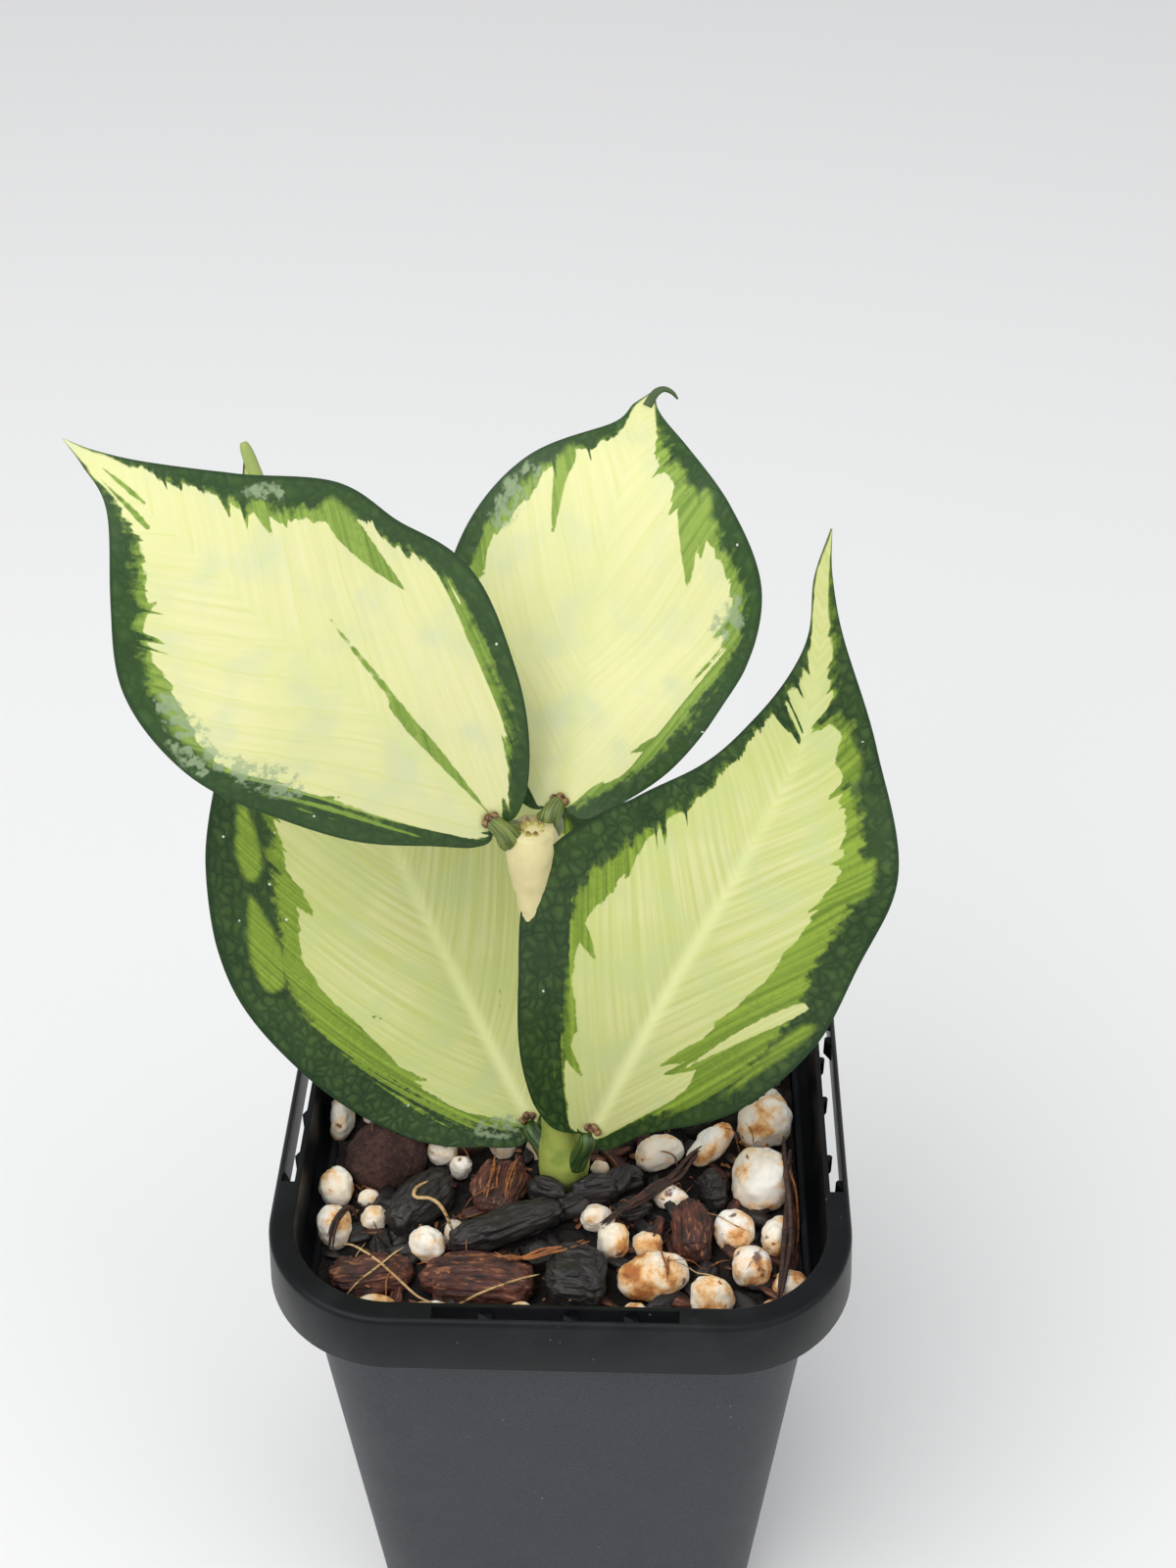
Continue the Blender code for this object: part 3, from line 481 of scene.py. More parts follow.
def stroke_depth(flat, start, end, width):
    """Mm inside a tapered stroke: its half width along the run, less the distance to its line."""
    line = end - start
    run = np.clip(((flat - start) @ line) / (line @ line), 0, 1)
    gap = np.linalg.norm(flat - (start + run[..., None] * line), axis=-1)
    taper = np.clip(1.25 * run, 0, 1)**0.8 * (1 - 0.35 * run**3)
    return width * taper - 0.12 - gap


def margin_depth(marks, tone, place, side, half_width):
    """Mm inside a margin of one tone, whose inner edge is a smooth line through the listed points."""
    edges = [np.interp(place, *zip(*marks[f"{tone}_{half}"])) for half in ("left", "right")]
    return (np.abs(side) - np.where(side < 0, *edges)) * (half_width + 0.5)


def leaf_tones(name, leaf, place, side):
    """Mm inside each margin tone and grey, and mm inside the green, mid and cream strokes."""
    marks = MARKINGS[name]
    along, x = flat_leaf(leaf, place, side)
    length = leaf_length(leaf)
    flat = np.stack([along * length, x], axis=-1)
    half_width = np.abs(flat_leaf(leaf, place, np.where(side < 0, -1.0, 1.0))[1])
    green, deep = (margin_depth(marks, tone, place, side, half_width) for tone in ("green", "deep"))
    drawn = {kind: np.full_like(green, -9.0) for kind in (*STROKE_KINDS, "grey")}
    for kind, start, end, width in marks["strokes"]:
        ends = [flat_leaf(leaf, np.array([mark[0]]), np.array([mark[1]])) for mark in (start, end)]
        ends = [np.array([end_along[0] * length, end_x[0]]) for end_along, end_x in ends]
        drawn[kind] = np.maximum(drawn[kind], stroke_depth(flat, *ends, width))
    tones = np.stack([green, deep, drawn["grey"]], axis=-1)
    return tones, np.stack([drawn[kind] for kind in STROKE_KINDS], axis=-1)


# %% [markdown]
# The living surface is wax over cells. Mid green shows a net of darker veins, deep green is nearly blue, and the
# cream carries faint yellow side veins. The net is the edge distance of Voronoi cells, laid in the pressed
# leaf's own millimetres so that it bends with the blade.


# %% Leaf finish
VEIN_SPACING = 7.5


def leaf_finish(name, shade):
    """Cream, mid green, deep green and grey by stored depth, veined, and paler underneath."""
    shader = Shader(name)
    vein_mm, side, under = shader.parts(shader.attribute("vein_grid", 1))
    green_mm, deep_mm, grey_mm = shader.parts(shader.attribute("tones", 1))
    green_stroke, mid_stroke, cream_stroke = shader.parts(shader.attribute("strokes", 1))
    pressed = shader.attribute("pressed", 1)
    along_mm, x_mm, place = shader.parts(pressed)
    reach = abs(side)

    def along_veins(density, drawn, seed, detail=2.0):
        """Noise drawn out along the side veins, from 0 to 1. Density is in changes a mm across them."""
        return shader.noise(shader.vector(vein_mm * density, x_mm * drawn, seed), 1.0, detail, 0.5)

    ragged = shader.noise(pressed, 0.8, 3.0) - 0.5
    comb = abs(along_veins(0.20, 0.030, 1.5) - 0.5)
    calm = place.step(0.93, 0.74)
    spikes = comb.step(0.085, 0.0) * along_veins(0.09, 0.02, 7.5).step(0.44, 0.66) * calm
    soft_edge = ((along_veins(0.30, 0.04, 3.5) - 0.5) * 1.9 + ragged * 0.8 + 0.6) * (calm * 0.85 + 0.15)
    green_stroke = green_stroke.math("MAXIMUM", mid_stroke)
    green = (green_mm + soft_edge + spikes * 2.4).math("MAXIMUM", green_stroke + ragged * 0.5)
    green = green.math("MINIMUM", (cream_stroke + ragged * 0.6) * -1.0)
    deep = deep_mm + soft_edge * 1.5 + spikes * 2.0 + ragged * 1.6
    deep = deep.math("MINIMUM", (mid_stroke + ragged) * -1.0)
    green_share = green.step(-0.11, 0.11)
    deep_share = deep.step(-0.7, 0.6)
    grey_share = (grey_mm + soft_edge * 1.2 + ragged * 2.6).step(-0.6, 0.5)

    warp = shader.node("ShaderNodeTexNoise", {}, {"Vector": pressed, "Scale": 0.5, "Detail": 2.0}, output=1)
    bent = shader.node("ShaderNodeVectorMath", {"operation": "MULTIPLY_ADD"}, {0: warp, 1: (1.8, 1.8, 0.0), 2: pressed})
    net = shader.cells(shader.scaled(bent, (0.50, 0.64, 0.0)), 1.0)
    soft = shader.noise(pressed, 0.11, 2.0)
    net_line = net.step(0.10, 0.0) * soft.step(0.25, 0.65)
    cell_middle = net.step(0.05, 0.40)
    streak = along_veins(0.75, 0.05, 4.0, 3.0)
    patch = shader.noise(pressed, 0.05, 2.0)

    count = (vein_mm / VEIN_SPACING + side.math("SIGN") * 0.21 + (soft - 0.5) * 0.5).math("FRACT")
    side_vein = abs(count - 0.5).step(0.09, 0.0) * reach.step(0.98, 0.45) * streak.step(0.30, 0.60)
    minor = (vein_mm / VEIN_SPACING * 3.3 + (patch - 0.5) * 2.5).math("FRACT")
    minor_vein = abs(minor - 0.5).step(0.08, 0.0) * reach.step(0.95, 0.3) * soft.step(0.42, 0.6)
    midrib = abs(x_mm).step(1.9, 0.0) ** 1.3 * place.step(1.0, 0.25)

    cream = shader.mix(streak.step(0.35, 0.65) * shade["streak_strength"], shade["cream"], shade["cream_green"])
    cream = shader.mix(soft.step(0.45, 0.72) * 0.75, cream, shade["cream_cool"])
    cream = shader.mix(patch.step(0.45, 0.65) * 0.35, cream, shade["cream_green"])
    cream = shader.mix(green.step(-4.5, 0.0) * 0.22, cream, shade["cream_green"])
    cream = shader.mix(side_vein * shade["vein_strength"], cream, shade["vein"])
    cream = shader.mix(minor_vein * 0.30, cream, shade["vein"])
    cream = shader.mix(midrib * shade["midrib_strength"], cream, shade["midrib"])
    mid = shader.mix(streak.step(0.30, 0.7), shade["mid"], shade["mid_light"])
    mid = shader.mix(net_line * 0.18, mid, shade["deep"])
    dark = shader.mix(cell_middle * shade["cell_strength"], shade["deep"], shade["deep_cell"])
    dark = shader.mix(net_line * shade["net_strength"], dark, shade["net"])
    dark = shader.mix(soft.step(0.3, 0.7) * 0.35, dark, shade["net"])
    leafy = shader.mix(deep_share, mid, dark)
    colour = shader.mix(green_share, cream, leafy)
    blotch = shader.noise(pressed, 0.8, 4.0).step(0.42, 0.58)
    colour = shader.mix(grey_share * blotch * 0.75, colour, shade["grey"])
    colour = shader.mix(reach.step(0.960, 0.990) * 0.8, colour, shade["net"])
    speck = shader.cells(pressed, 0.30, "F1").step(0.07, 0.045) * shader.noise(pressed, 0.22).step(0.51, 0.55)
    colour = shader.mix(speck * green_share * 0.9, colour, (0.72, 0.76, 0.66))
    colour = shader.mix(under * 0.45, colour, shade["under"])

    relief = cell_middle * green_share * 0.14 + streak * 0.10 - side_vein * 0.05 - midrib * 0.05
    relief = relief + shader.noise(pressed, 2.2) * 0.05
    wax = 0.43 + shader.noise(pressed, 0.5) * 0.10 - deep_share * green_share * 0.06
    return shader.finish(
        base_color=colour, roughness=wax, normal=shader.bump(relief, 0.0006, 0.8), ior=1.42,
        subsurface_weight=0.05, subsurface_scale=0.002, subsurface_radius=(0.6, 1.0, 0.25),
        specular_ior_level=0.30)


UPPER_SHADE = dict(
    cream=(0.75, 0.735, 0.39), cream_green=(0.67, 0.69, 0.29), cream_cool=(0.60, 0.65, 0.42), vein=(0.64, 0.66, 0.22),
    streak_strength=0.55, vein_strength=0.40, midrib=(0.66, 0.72, 0.30), midrib_strength=0.45, mid=(0.155, 0.260, 0.035),
    mid_light=(0.29, 0.41, 0.075), deep=(0.036, 0.080, 0.020), deep_cell=(0.068, 0.130, 0.036), cell_strength=0.50,
    net_strength=0.45, net=(0.018, 0.045, 0.015), grey=(0.31, 0.40, 0.23), under=(0.42, 0.50, 0.26))
# Lower-leaf tones: their darker cream and greens are painted shade from the leaves above; their greener streaks and
# paler midrib are their own.
LOWER_TONES_IN_PAINTED_SHADE = dict(
    UPPER_SHADE, streak_strength=0.8, cream=(0.62, 0.62, 0.29), cream_green=(0.48, 0.53, 0.17), cream_cool=(0.50, 0.56, 0.27),
    vein=(0.56, 0.62, 0.18), midrib=(0.74, 0.77, 0.37), midrib_strength=0.85, mid=(0.125, 0.205, 0.020),
    mid_light=(0.25, 0.36, 0.040), deep=(0.028, 0.060, 0.014), deep_cell=(0.062, 0.115, 0.026), cell_strength=0.75,
    net_strength=0.75, grey=(0.25, 0.33, 0.19), net=(0.009, 0.029, 0.008))

# %% Leaf blades
LEAF_ROWS = 230
HALF_COLUMNS = 46
BLADE = 0.8
MIDRIB = 1.0


def blade_sides():
    """Values of across, closer together towards the margins, where the edge turns over."""
    step = np.linspace(0, 1, HALF_COLUMNS + 1)
    half = 1 - (1 - step)**1.5
    return np.concatenate([-half[:0:-1], half])


def blade_thickness(place, side):
    """Full in the blade, with a keel under the midrib, rounded off to nothing in the last hair of the margin."""
    keel = MIDRIB * (1 - 0.8 * place) * np.clip(1 - np.abs(side) / 0.12, 0, 1)**2
    full = BLADE + 0.4 * (1 - np.abs(side)) * (1 - place) + keel
    return full * np.sqrt(np.clip(1 - np.abs(side)**40, 0, 1))


def vein_place(leaf, place, side):
    """Mm along the midrib at which the side vein through a point leaves it: along - 1.5 |x| - 0.02 x^2."""
    along, x = flat_leaf(leaf, place, side)
    return along * leaf_length(leaf) - 1.5 * np.abs(x) - 0.02 * x * x


def vein_relief(leaf, place, side):
    """Mm of relief: a groove along the midrib, side veins a little sunk and the blade puffed between them."""
    x = flat_leaf(leaf, place, side)[1]
    groove = -0.35 * np.exp(-(x / 1.1)**2) * (1 - place)
    phase = vein_place(leaf, place, side) / VEIN_SPACING + np.sign(side) * 0.21
    fade = np.clip(np.abs(side) * 6, 0, 1) * np.clip((1 - np.abs(side)) * 5, 0, 1) * np.sin(np.pi * place)
    puff = 0.07 * fade * np.sin(np.pi * phase)**2
    return groove + puff


def make_blade(name, leaf, finish):
    """One closed blade: each ring crosses the upper face and returns under it. Rings run from foot to tip."""
    place = (1 - np.cos(np.linspace(0, np.pi, LEAF_ROWS + 2)[1:-1])) / 2
    place = 0.35 * place + 0.65 * np.linspace(0, 1, LEAF_ROWS + 2)[1:-1]
    side = blade_sides()
    rows, columns = np.meshgrid(place, side, indexing="ij")
    upper, normals = leaf_surface(leaf, rows, columns)
    upper = upper + normals * vein_relief(leaf, rows, columns)[..., None]
    lower = upper - normals * blade_thickness(rows, columns)[..., None]
    rings = np.concatenate([upper, lower[:, -2:0:-1]], axis=1)
    piece = ring_mesh(name + "_blade", rings * MM, finish)
    tones, strokes = leaf_tones(name, leaf, rows, columns)
    along, x = flat_leaf(leaf, rows, columns)
    pressed = np.stack([along * leaf_length(leaf), x, rows], axis=-1)
    grid = np.stack([vein_place(leaf, rows, columns), columns, np.zeros_like(rows)], axis=-1)
    grid_under = grid + np.array([0, 0, 1.0])
    fields = [("tones", tones, tones), ("strokes", strokes, strokes), ("pressed", pressed, pressed)]
    for label, top, low in fields + [("vein_grid", grid, grid_under)]:
        both = np.concatenate([top, low[:, -2:0:-1]], axis=1).reshape(-1, 3)
        both = np.vstack([both, top[0, HALF_COLUMNS], top[-1, HALF_COLUMNS]])
        store(piece, label, both, "FLOAT_VECTOR")
    return piece


blades = {}
for name, leaf in LEAVES.items():
    finish = leaf_finish(name + "_finish", UPPER_SHADE if "upper" in name else LOWER_TONES_IN_PAINTED_SHADE)
    blades[name] = dress(make_blade(name, leaf, finish), "leaf_variegated", name)
print("blade triangles:", [2 * len(piece.data.polygons) for piece in blades.values()])

# %% [markdown]
# Two tips run out into more than a point: one curls over in a thin hook, and one ends in a blunt finger. Each is
# a tapered tube that starts inside its blade.

# %% Leaf tips
TIPS = {
    "leaf_upper_right": ([(10.9, 39.4, 198.6), (12.0, 41.4, 199.6), (13.2, 42.0, 200.0), (14.4, 42.0, 199.5),
                          (15.2, 42.0, 198.5)], (0.7, 0.6, 0.42, 0.32, 0.24), (0.06, 0.10, 0.03)),
    "leaf_lower_left": ([(-44.6, 38.0, 186.5), (-45.8, 39.3, 189.4), (-46.7, 40.2, 191.8)], (1.0, 1.0, 0.85),
                        (0.30, 0.38, 0.10)),
}
for name, (points, radii, tone) in TIPS.items():
    share = np.linspace(0, 1, 24)
    reach = np.interp(share, np.linspace(0, 1, len(radii)), radii) * np.sqrt(1 - share**8 * 0.7)
    finish = Shader(name + "_tip_green").finish(base_color=tone, roughness=0.45)
    tip = ring_mesh(name + "_tip", tube_rings(curve_through(points, share), reach, 16) * MM, finish)
    dress(tip, "leaf_variegated")

# %% [markdown]
# # The nursery pot
# The pot is one thin moulding: a tapered body, a step out to a collar, a flat flange and a skirt that hangs from
# it. All of it is one section carried round a square with rounded corners, so the section is a list of places
# (half width, core, height), where the core is half the length of a straight side. A label slot runs through the
# flange on each side, cut with a Boolean, and small barbs beside it hold the label.

# %% Pot section
POT_HEIGHT = 100.0
RIM_HALF = 42.5
RIM_CORE = 23.5
FLANGE = 3.7
SHELL = 0.75
FLANGE_THICK = 1.2
SKIRT_FOOT = 90.0
SKIRT_FLARE = 0.5
LEDGE = 88.5
BODY_HALF = 38.1
BODY_TAPER = 0.0793
BODY_CORNER = 11.0
BODY_WALL = 1.1
POT_FLOOR = 1.6
MOUTH = RIM_HALF - FLANGE
RIB_STEP = 1.35
RIB_DEPTH = 0.16
CORNER_STEPS = 22
SIDE_STEPS = 10


def body_half(height):
    return BODY_HALF - BODY_TAPER * (POT_HEIGHT - height)


def body_core(height, inset=0.0):
    return body_half(height) - BODY_CORNER * (0.75 + 0.25 * height / POT_HEIGHT)


def bend(half, core, height, radius, start, end, steps=5):
    """Section points on an arc: half + radius * cos a, height + radius * sin a."""
    angle = np.radians(np.linspace(start, end, steps))
    return [(half + radius * math.cos(a), core, height + radius * math.sin(a)) for a in angle]


def pot_section():
    """From the middle of the underside, up outside, over the flange and down inside to the floor."""
    foot = 1.6
    points = [(body_half(0) * share, body_core(0) * share, 0.0) for share in (0.3, 0.7)]
    points += bend(body_half(foot) - foot, body_core(foot), foot, foot, -90, 0)
    points += [(body_half(h), body_core(h), h) for h in np.linspace(8, LEDGE - 0.5, 12)]
    points += [(MOUTH + SHELL, RIM_CORE, LEDGE + 2), (MOUTH + SHELL, RIM_CORE, POT_HEIGHT - FLANGE_THICK)]
    under = RIM_HALF - SHELL
    points += [(under - 0.3, RIM_CORE, POT_HEIGHT - FLANGE_THICK), (under, RIM_CORE, POT_HEIGHT - FLANGE_THICK - 0.3)]
    points += bend(RIM_HALF + SKIRT_FLARE - SHELL / 2, RIM_CORE, SKIRT_FOOT + SHELL / 2, SHELL / 2, -180, 0, 7)
    points += bend(RIM_HALF - 1.0, RIM_CORE, POT_HEIGHT - 1.0, 1.0, 0, 90, 6)
    points += bend(MOUTH + 0.4, RIM_CORE, POT_HEIGHT - 0.4, 0.4, 90, 180, 5)
    for rib in range(5):
        height = POT_HEIGHT - 2.0 - rib * RIB_STEP
        wall = MOUTH - 0.08 * rib
        points += [(wall, RIM_CORE, height), (wall - RIB_DEPTH, RIM_CORE, height - 0.25),
                   (wall - RIB_DEPTH, RIM_CORE, height - 0.55), (wall - 0.08, RIM_CORE, height - 0.8)]
    points += [(MOUTH - 0.75, RIM_CORE, LEDGE + 2.4)]
    points += [(body_half(h) - BODY_WALL, body_core(h), h) for h in (LEDGE + 0.4, 60, 30, POT_FLOOR)]
    return np.array(points + [(12.0, 8.0, POT_FLOOR)])


def square_rings(section, corner_steps=CORNER_STEPS, side_steps=SIDE_STEPS):
    """Rings round a rounded square: sign * core + (half - core) * (cos a, sin a), from section rows."""
    turn, sign_x, sign_y = [], [], []
    for quarter, (sx, sy) in enumerate([(1, 1), (-1, 1), (-1, -1), (1, -1)]):
        arc = np.radians(90 * quarter + np.linspace(0, 90, corner_steps + 1))
        next_x, next_y = [(-1, 1), (-1, -1), (1, -1), (1, 1)][quarter]
        run = np.linspace(0, 1, side_steps + 1)[1:-1]
        turn += [arc, np.full(len(run), arc[-1])]
        sign_x += [np.full(len(arc), sx), sx + (next_x - sx) * run]
        sign_y += [np.full(len(arc), sy), sy + (next_y - sy) * run]
    turn, sign_x, sign_y = (np.concatenate(part) for part in (turn, sign_x, sign_y))
    half, core, height = (column[:, None] for column in np.asarray(section).T)
    corner = half - core
    x = sign_x * core + corner * np.cos(turn)
    y = sign_y * core + corner * np.sin(turn)
    return np.stack([x, y, height + 0 * x], axis=-1)


# %% Slots and barbs
SLOT_LENGTH = 34.7
SLOT_WIDTH = 2.0
BARBS = [(-10, -1), (2, -1), (10.5, -1), (-15, 1), (15, 1)]
SHARP = math.radians(38)


def box_mesh(name, low, high, finish=None):
    """A plain box between two corners, in mm."""
    corners = [[(low, high)[bit][axis] for axis, bit in enumerate(bits)] for bits in np.ndindex(2, 2, 2)]
    faces = [(0, 1, 3, 2), (4, 6, 7, 5), (0, 4, 5, 1), (2, 3, 7, 6), (0, 2, 6, 4), (1, 5, 7, 3)]
    mesh = bpy.data.meshes.new(name)
    mesh.from_pydata((np.array(corners) * MM).tolist(), [], faces)
    piece = bpy.data.objects.new(name, mesh)
    bpy.context.scene.collection.objects.link(piece)
    return piece


def cut(piece, tools):
    """Takes closed tools out of a piece with one Boolean, which is applied."""
    group = bpy.data.collections.new("cutters")
    bpy.context.scene.collection.children.link(group)
    for tool in tools:
        bpy.context.scene.collection.objects.unlink(tool)
        group.objects.link(tool)
    step = piece.modifiers.new("slots", "BOOLEAN")
    step.operand_type = "COLLECTION"
    step.collection = group
    step.solver = "EXACT"
    bpy.context.view_layer.update()
    done = bpy.data.meshes.new_from_object(piece.evaluated_get(bpy.context.evaluated_depsgraph_get()))
    piece.modifiers.clear()
    piece.data = done
    for tool in tools:
        bpy.data.objects.remove(tool)
    bpy.data.collections.remove(group)


def barb_points(along, wall_side):
    """A wedge in the right-hand slot: triangles in plan, on the collar (-1) or on the skirt (1)."""
    root = RIM_HALF - SHELL + 0.2 if wall_side > 0 else MOUTH + SHELL - 0.2
    tip = root - wall_side * 1.2
    top = POT_HEIGHT - 1.4
    plan = [(root, along - 1.2), (tip, along + 0.7), (tip + wall_side * 0.25, along + 1.1), (root, along + 1.1)]
    return np.array([[(x, y, height) for x, y in plan[::wall_side]] for height in (top - 3.2, top)])


def make_barbs(finish):
    """All twenty wedges in one piece, turned round the pot."""
    verts, faces = [], []
    for side in range(4):
        c, s = math.cos(math.pi / 2 * side), math.sin(math.pi / 2 * side)
        turn = np.array([[c, -s, 0], [s, c, 0], [0, 0, 1]])
        for along, wall_side in BARBS:
            first = len(verts)
            verts += (barb_points(along, wall_side).reshape(-1, 3) @ turn.T).tolist()
            rows = [(0, 1, 2, 3), (7, 6, 5, 4), (0, 4, 5, 1), (1, 5, 6, 2), (2, 6, 7, 3), (3, 7, 4, 0)]
            faces += [[first + index for index in face] for face in rows]
    mesh = bpy.data.meshes.new("pot_barbs")
    mesh.from_pydata((np.array(verts) * MM).tolist(), [], faces)
    mesh.materials.append(finish)
    piece = bpy.data.objects.new("pot_barbs", mesh)
    bpy.context.scene.collection.objects.link(piece)
    return outward(piece)


def outward(piece):
    """Turns every face of a closed mesh outwards."""
    bm = bmesh.new()
    bm.from_mesh(piece.data)
    bmesh.ops.recalc_face_normals(bm, faces=bm.faces)
    bm.to_mesh(piece.data)
    bm.free()
    return piece


# %% Pot finish
def pot_finish():
    """Black polypropylene: a fine-grained body, a smoother rim, faint scuffs and specks of dust."""
    shader = Shader("black_moulded_plastic")
    place = shader.place()
    x, y, height = shader.parts(place)
    rim = height.step(0.0893, 0.0900)
    grain = shader.noise(place, 3200.0, 2.0)
    mottle = shader.noise(place, 60.0, 3.0)
    colour = shader.mix(rim, (0.036, 0.038, 0.046), (0.0048, 0.0056, 0.0066))
    colour = shader.mix(mottle.step(0.4, 0.8) * 0.35, colour, (0.045, 0.048, 0.056))
    colour = shader.mix(grain.step(0.45, 0.62) * (0.5 - rim * 0.5), colour, (0.062, 0.065, 0.075))
    dust = shader.cells(place, 420.0, "F1").step(0.085, 0.05) * shader.noise(place, 90.0).step(0.55, 0.66)
    colour = shader.mix(dust * 0.55, colour, (0.42, 0.42, 0.40))
    scuff = shader.noise(shader.scaled(place, (1.0, 1.0, 9.0)), 700.0, 2.0).step(0.66, 0.72)
    scuff = scuff * shader.noise(place, 45.0).step(0.5, 0.62)
    colour = shader.mix(scuff * 0.10, colour, (0.25, 0.25, 0.26))
    rough = shader.noise(place, 150.0, 3.0) * 0.12 + 0.40 - rim * 0.08 + scuff * 0.12
    relief = grain * (1 - rim * 0.75) + mottle * 0.6
    return shader.finish(base_color=colour, roughness=rough, normal=shader.bump(relief, 0.00010, 0.8),
                         specular_ior_level=0.16)


plastic = pot_finish()
pot = ring_mesh("nursery_pot", square_rings(pot_section()) * MM, plastic)
slot_low, slot_high = RIM_HALF - FLANGE / 2 - SLOT_WIDTH / 2, RIM_HALF - FLANGE / 2 + SLOT_WIDTH / 2
slots = []
for side in range(4):
    slot = box_mesh(f"slot_{side}", (slot_low, -SLOT_LENGTH / 2, POT_HEIGHT - 2.4), (slot_high, SLOT_LENGTH / 2, 101))
    slot.data.transform(Matrix.Rotation(math.pi / 2 * side, 4, "Z"))
    slots.append(outward(slot))
cut(pot, slots)
pot.data.shade_smooth()
pot.data.set_sharp_from_angle(angle=SHARP)
dress(pot, "pot_plastic", "pot")
barbs = dress(make_barbs(plastic), "pot_plastic")
print("pot faces:", len(pot.data.polygons))

# %% [markdown]
# # The mix
# Coarse aroid mix is nearly all lumps: popped perlite with rusty stains, husk chips, charcoal and one ball of
# scoria. Each lump is a sphere of latitude rings whose radius carries a few seeded waves and then lattice noise.
# The dark crumbs between them, coloured darker still as painted shade in the gaps, are a height over a rounded square,
# dimpled below every lump.


# %% Noise on arrays
def lattice_noise(points, scale, seed):
    """Value noise: random numbers on a lattice, blended smoothly between the eight nearest, from -1 to 1."""
    table = np.random.default_rng(seed).uniform(-1, 1, (32, 32, 32))
    place = np.asarray(points) / scale + 1000.0
    cell = np.floor(place).astype(int)
    part = place - cell
    part = part * part * (3 - 2 * part)
    total = 0.0
    for corner in np.ndindex(2, 2, 2):
        pick = (cell + corner) % 32
        weight = np.prod(np.where(corner, part, 1 - part), axis=-1)
        total = total + weight * table[pick[..., 0], pick[..., 1], pick[..., 2]]
    return total


# %% Lumps
PERLITE = [
    ((31, 2, 93.5), (4.2, 4.4, 4.6), 0), ((29.8, -10, 94.2), (4.5, 4.8, 5.2), 10),
    ((25.9, -18.7, 92.6), (3.1, 3.0, 3.0), 0), ((32.4, -19.6, 92.4), (2.2, 3.4, 2.9), -15),
    ((27.8, -26, 93), (2.9, 3.1, 3.3), 0), ((33.8, -28.8, 92.4), (2.5, 2.4, 2.6), 0),
    ((22, -31.6, 92.8), (3.2, 2.9, 3.5), 0), ((13.8, -28.2, 93.2), (5.0, 3.6, 3.7), 5),
    ((7.6, -21.6, 93), (2.4, 2.8, 3.3), 0), ((13.1, -21.6, 92.4), (2.2, 2.0, 2.0), 0),
    ((14.4, -4.2, 93), (3.8, 2.4, 2.8), 15), ((22.4, -3.2, 94), (4.6, 2.1, 2.7), 48),
    ((16.2, -12.2, 92.2), (2.7, 1.9, 1.9), -20), ((-35.6, 2, 92.6), (1.9, 3.2, 3.2), 0),
    ((-34.5, -11.9, 92.6), (2.5, 2.9, 2.9), 0), ((-34, -19.8, 93), (2.5, 3.1, 3.4), 10),
    ((-28.2, -17.6, 92.2), (2.1, 1.8, 2.0), 0), ((-19.8, -22.6, 93), (2.6, 2.7, 2.8), 0),
    ((-26.4, -34.2, 92), (3.4, 2.0, 2.2), 8), ((-18.4, -34.6, 91.8), (3.4, 1.8, 2.0), 0),
    ((-5.3, -34.9, 92), (2.5, 1.8, 2.2), 0), ((-20.6, 1.6, 92), (2.5, 2.4, 2.4), 0),
    ((5.2, -17.7, 93.2), (2.6, 1.8, 2.2), 0), ((-19.0, -4.3, 92.8), (2.2, 2.0, 2.4), 0),
    ((-15.9, -7.3, 92.4), (1.7, 1.7, 2.2), 0), ((11.2, -34.2, 92), (2.3, 1.4, 2.0), 0),
    ((17.0, -34.6, 91.8), (1.9, 1.2, 1.8), 0),
]
SCORIA = [((-27.8, -5.6, 92.6), (6.4, 6.0, 5.6), 0)]
BARK = [
    ((-9.6, -11.6, 92.8), (5.0, 4.2, 2.8), 76), ((-11.6, -29.2, 92.6), (8.4, 3.9, 3.2), -3),
    ((-27.6, -28.4, 92.2), (6.0, 3.4, 2.6), 8), ((19.4, -19.2, 92.6), (5.2, 2.9, 3.4), 96),
]
CHARCOAL = [
    ((-21.2, -15.0, 93.4), (6.4, 3.2, 3.6), 54), ((-8.0, -20.2, 94.4), (9.6, 2.5, 2.7), 24),
    ((2.6, -28.8, 93), (4.6, 5.2, 4.0), -10), ((10, -9.2, 92.4), (2.2, 1.8, 2.2), 20),
    ((22.8, -11.2, 92.4), (2.0, 3.0, 2.8), 10), ((10.6, -15.4, 92.4), (2.4, 1.7, 2.0), 20),
]


def sphere_ways(rows, columns):
    """Unit directions on latitude rings, from just off the lower pole to just off the upper one."""
    lift = np.radians(np.linspace(-87, 87, rows))[:, None]
    turn = np.linspace(0, 2 * np.pi, columns, endpoint=False)[None, :]
    return np.stack([np.cos(lift) * np.cos(turn), np.cos(lift) * np.sin(turn), np.sin(lift) + 0 * turn], axis=-1)


def lump_rings(place, half, turn, rough, seed, boxy, rows=44, columns=64, detail=None):
    """A stone in mm, placed and in its own axes: direction ** boxy * (1 + seeded waves), stretched and turned."""
    draw = random.Random(seed)
    waves = [(unit(np.array([draw.uniform(-1, 1) for _ in range(3)])), draw.uniform(0, 6.3)) for _ in range(5)]
    way = sphere_ways(rows, columns)
    size = 1 + rough * sum(np.sin(2.6 * (way @ axis) + start) for axis, start in waves) / 2.5
    form = np.copysign(np.abs(way)**boxy, way) * size[..., None]
    form = form / np.maximum(1.0, np.linalg.norm(form, axis=-1, keepdims=True)**0.6)
    points = form * np.array(half)
    if detail is not None:
        points = points + unit(form) * detail(points, sum(seed.encode()) % 997)[..., None]
    c, s = math.cos(math.radians(turn)), math.sin(math.radians(turn))
    return points @ np.array([[c, s, 0], [-s, c, 0], [0, 0, 1]]) + np.array(place), points


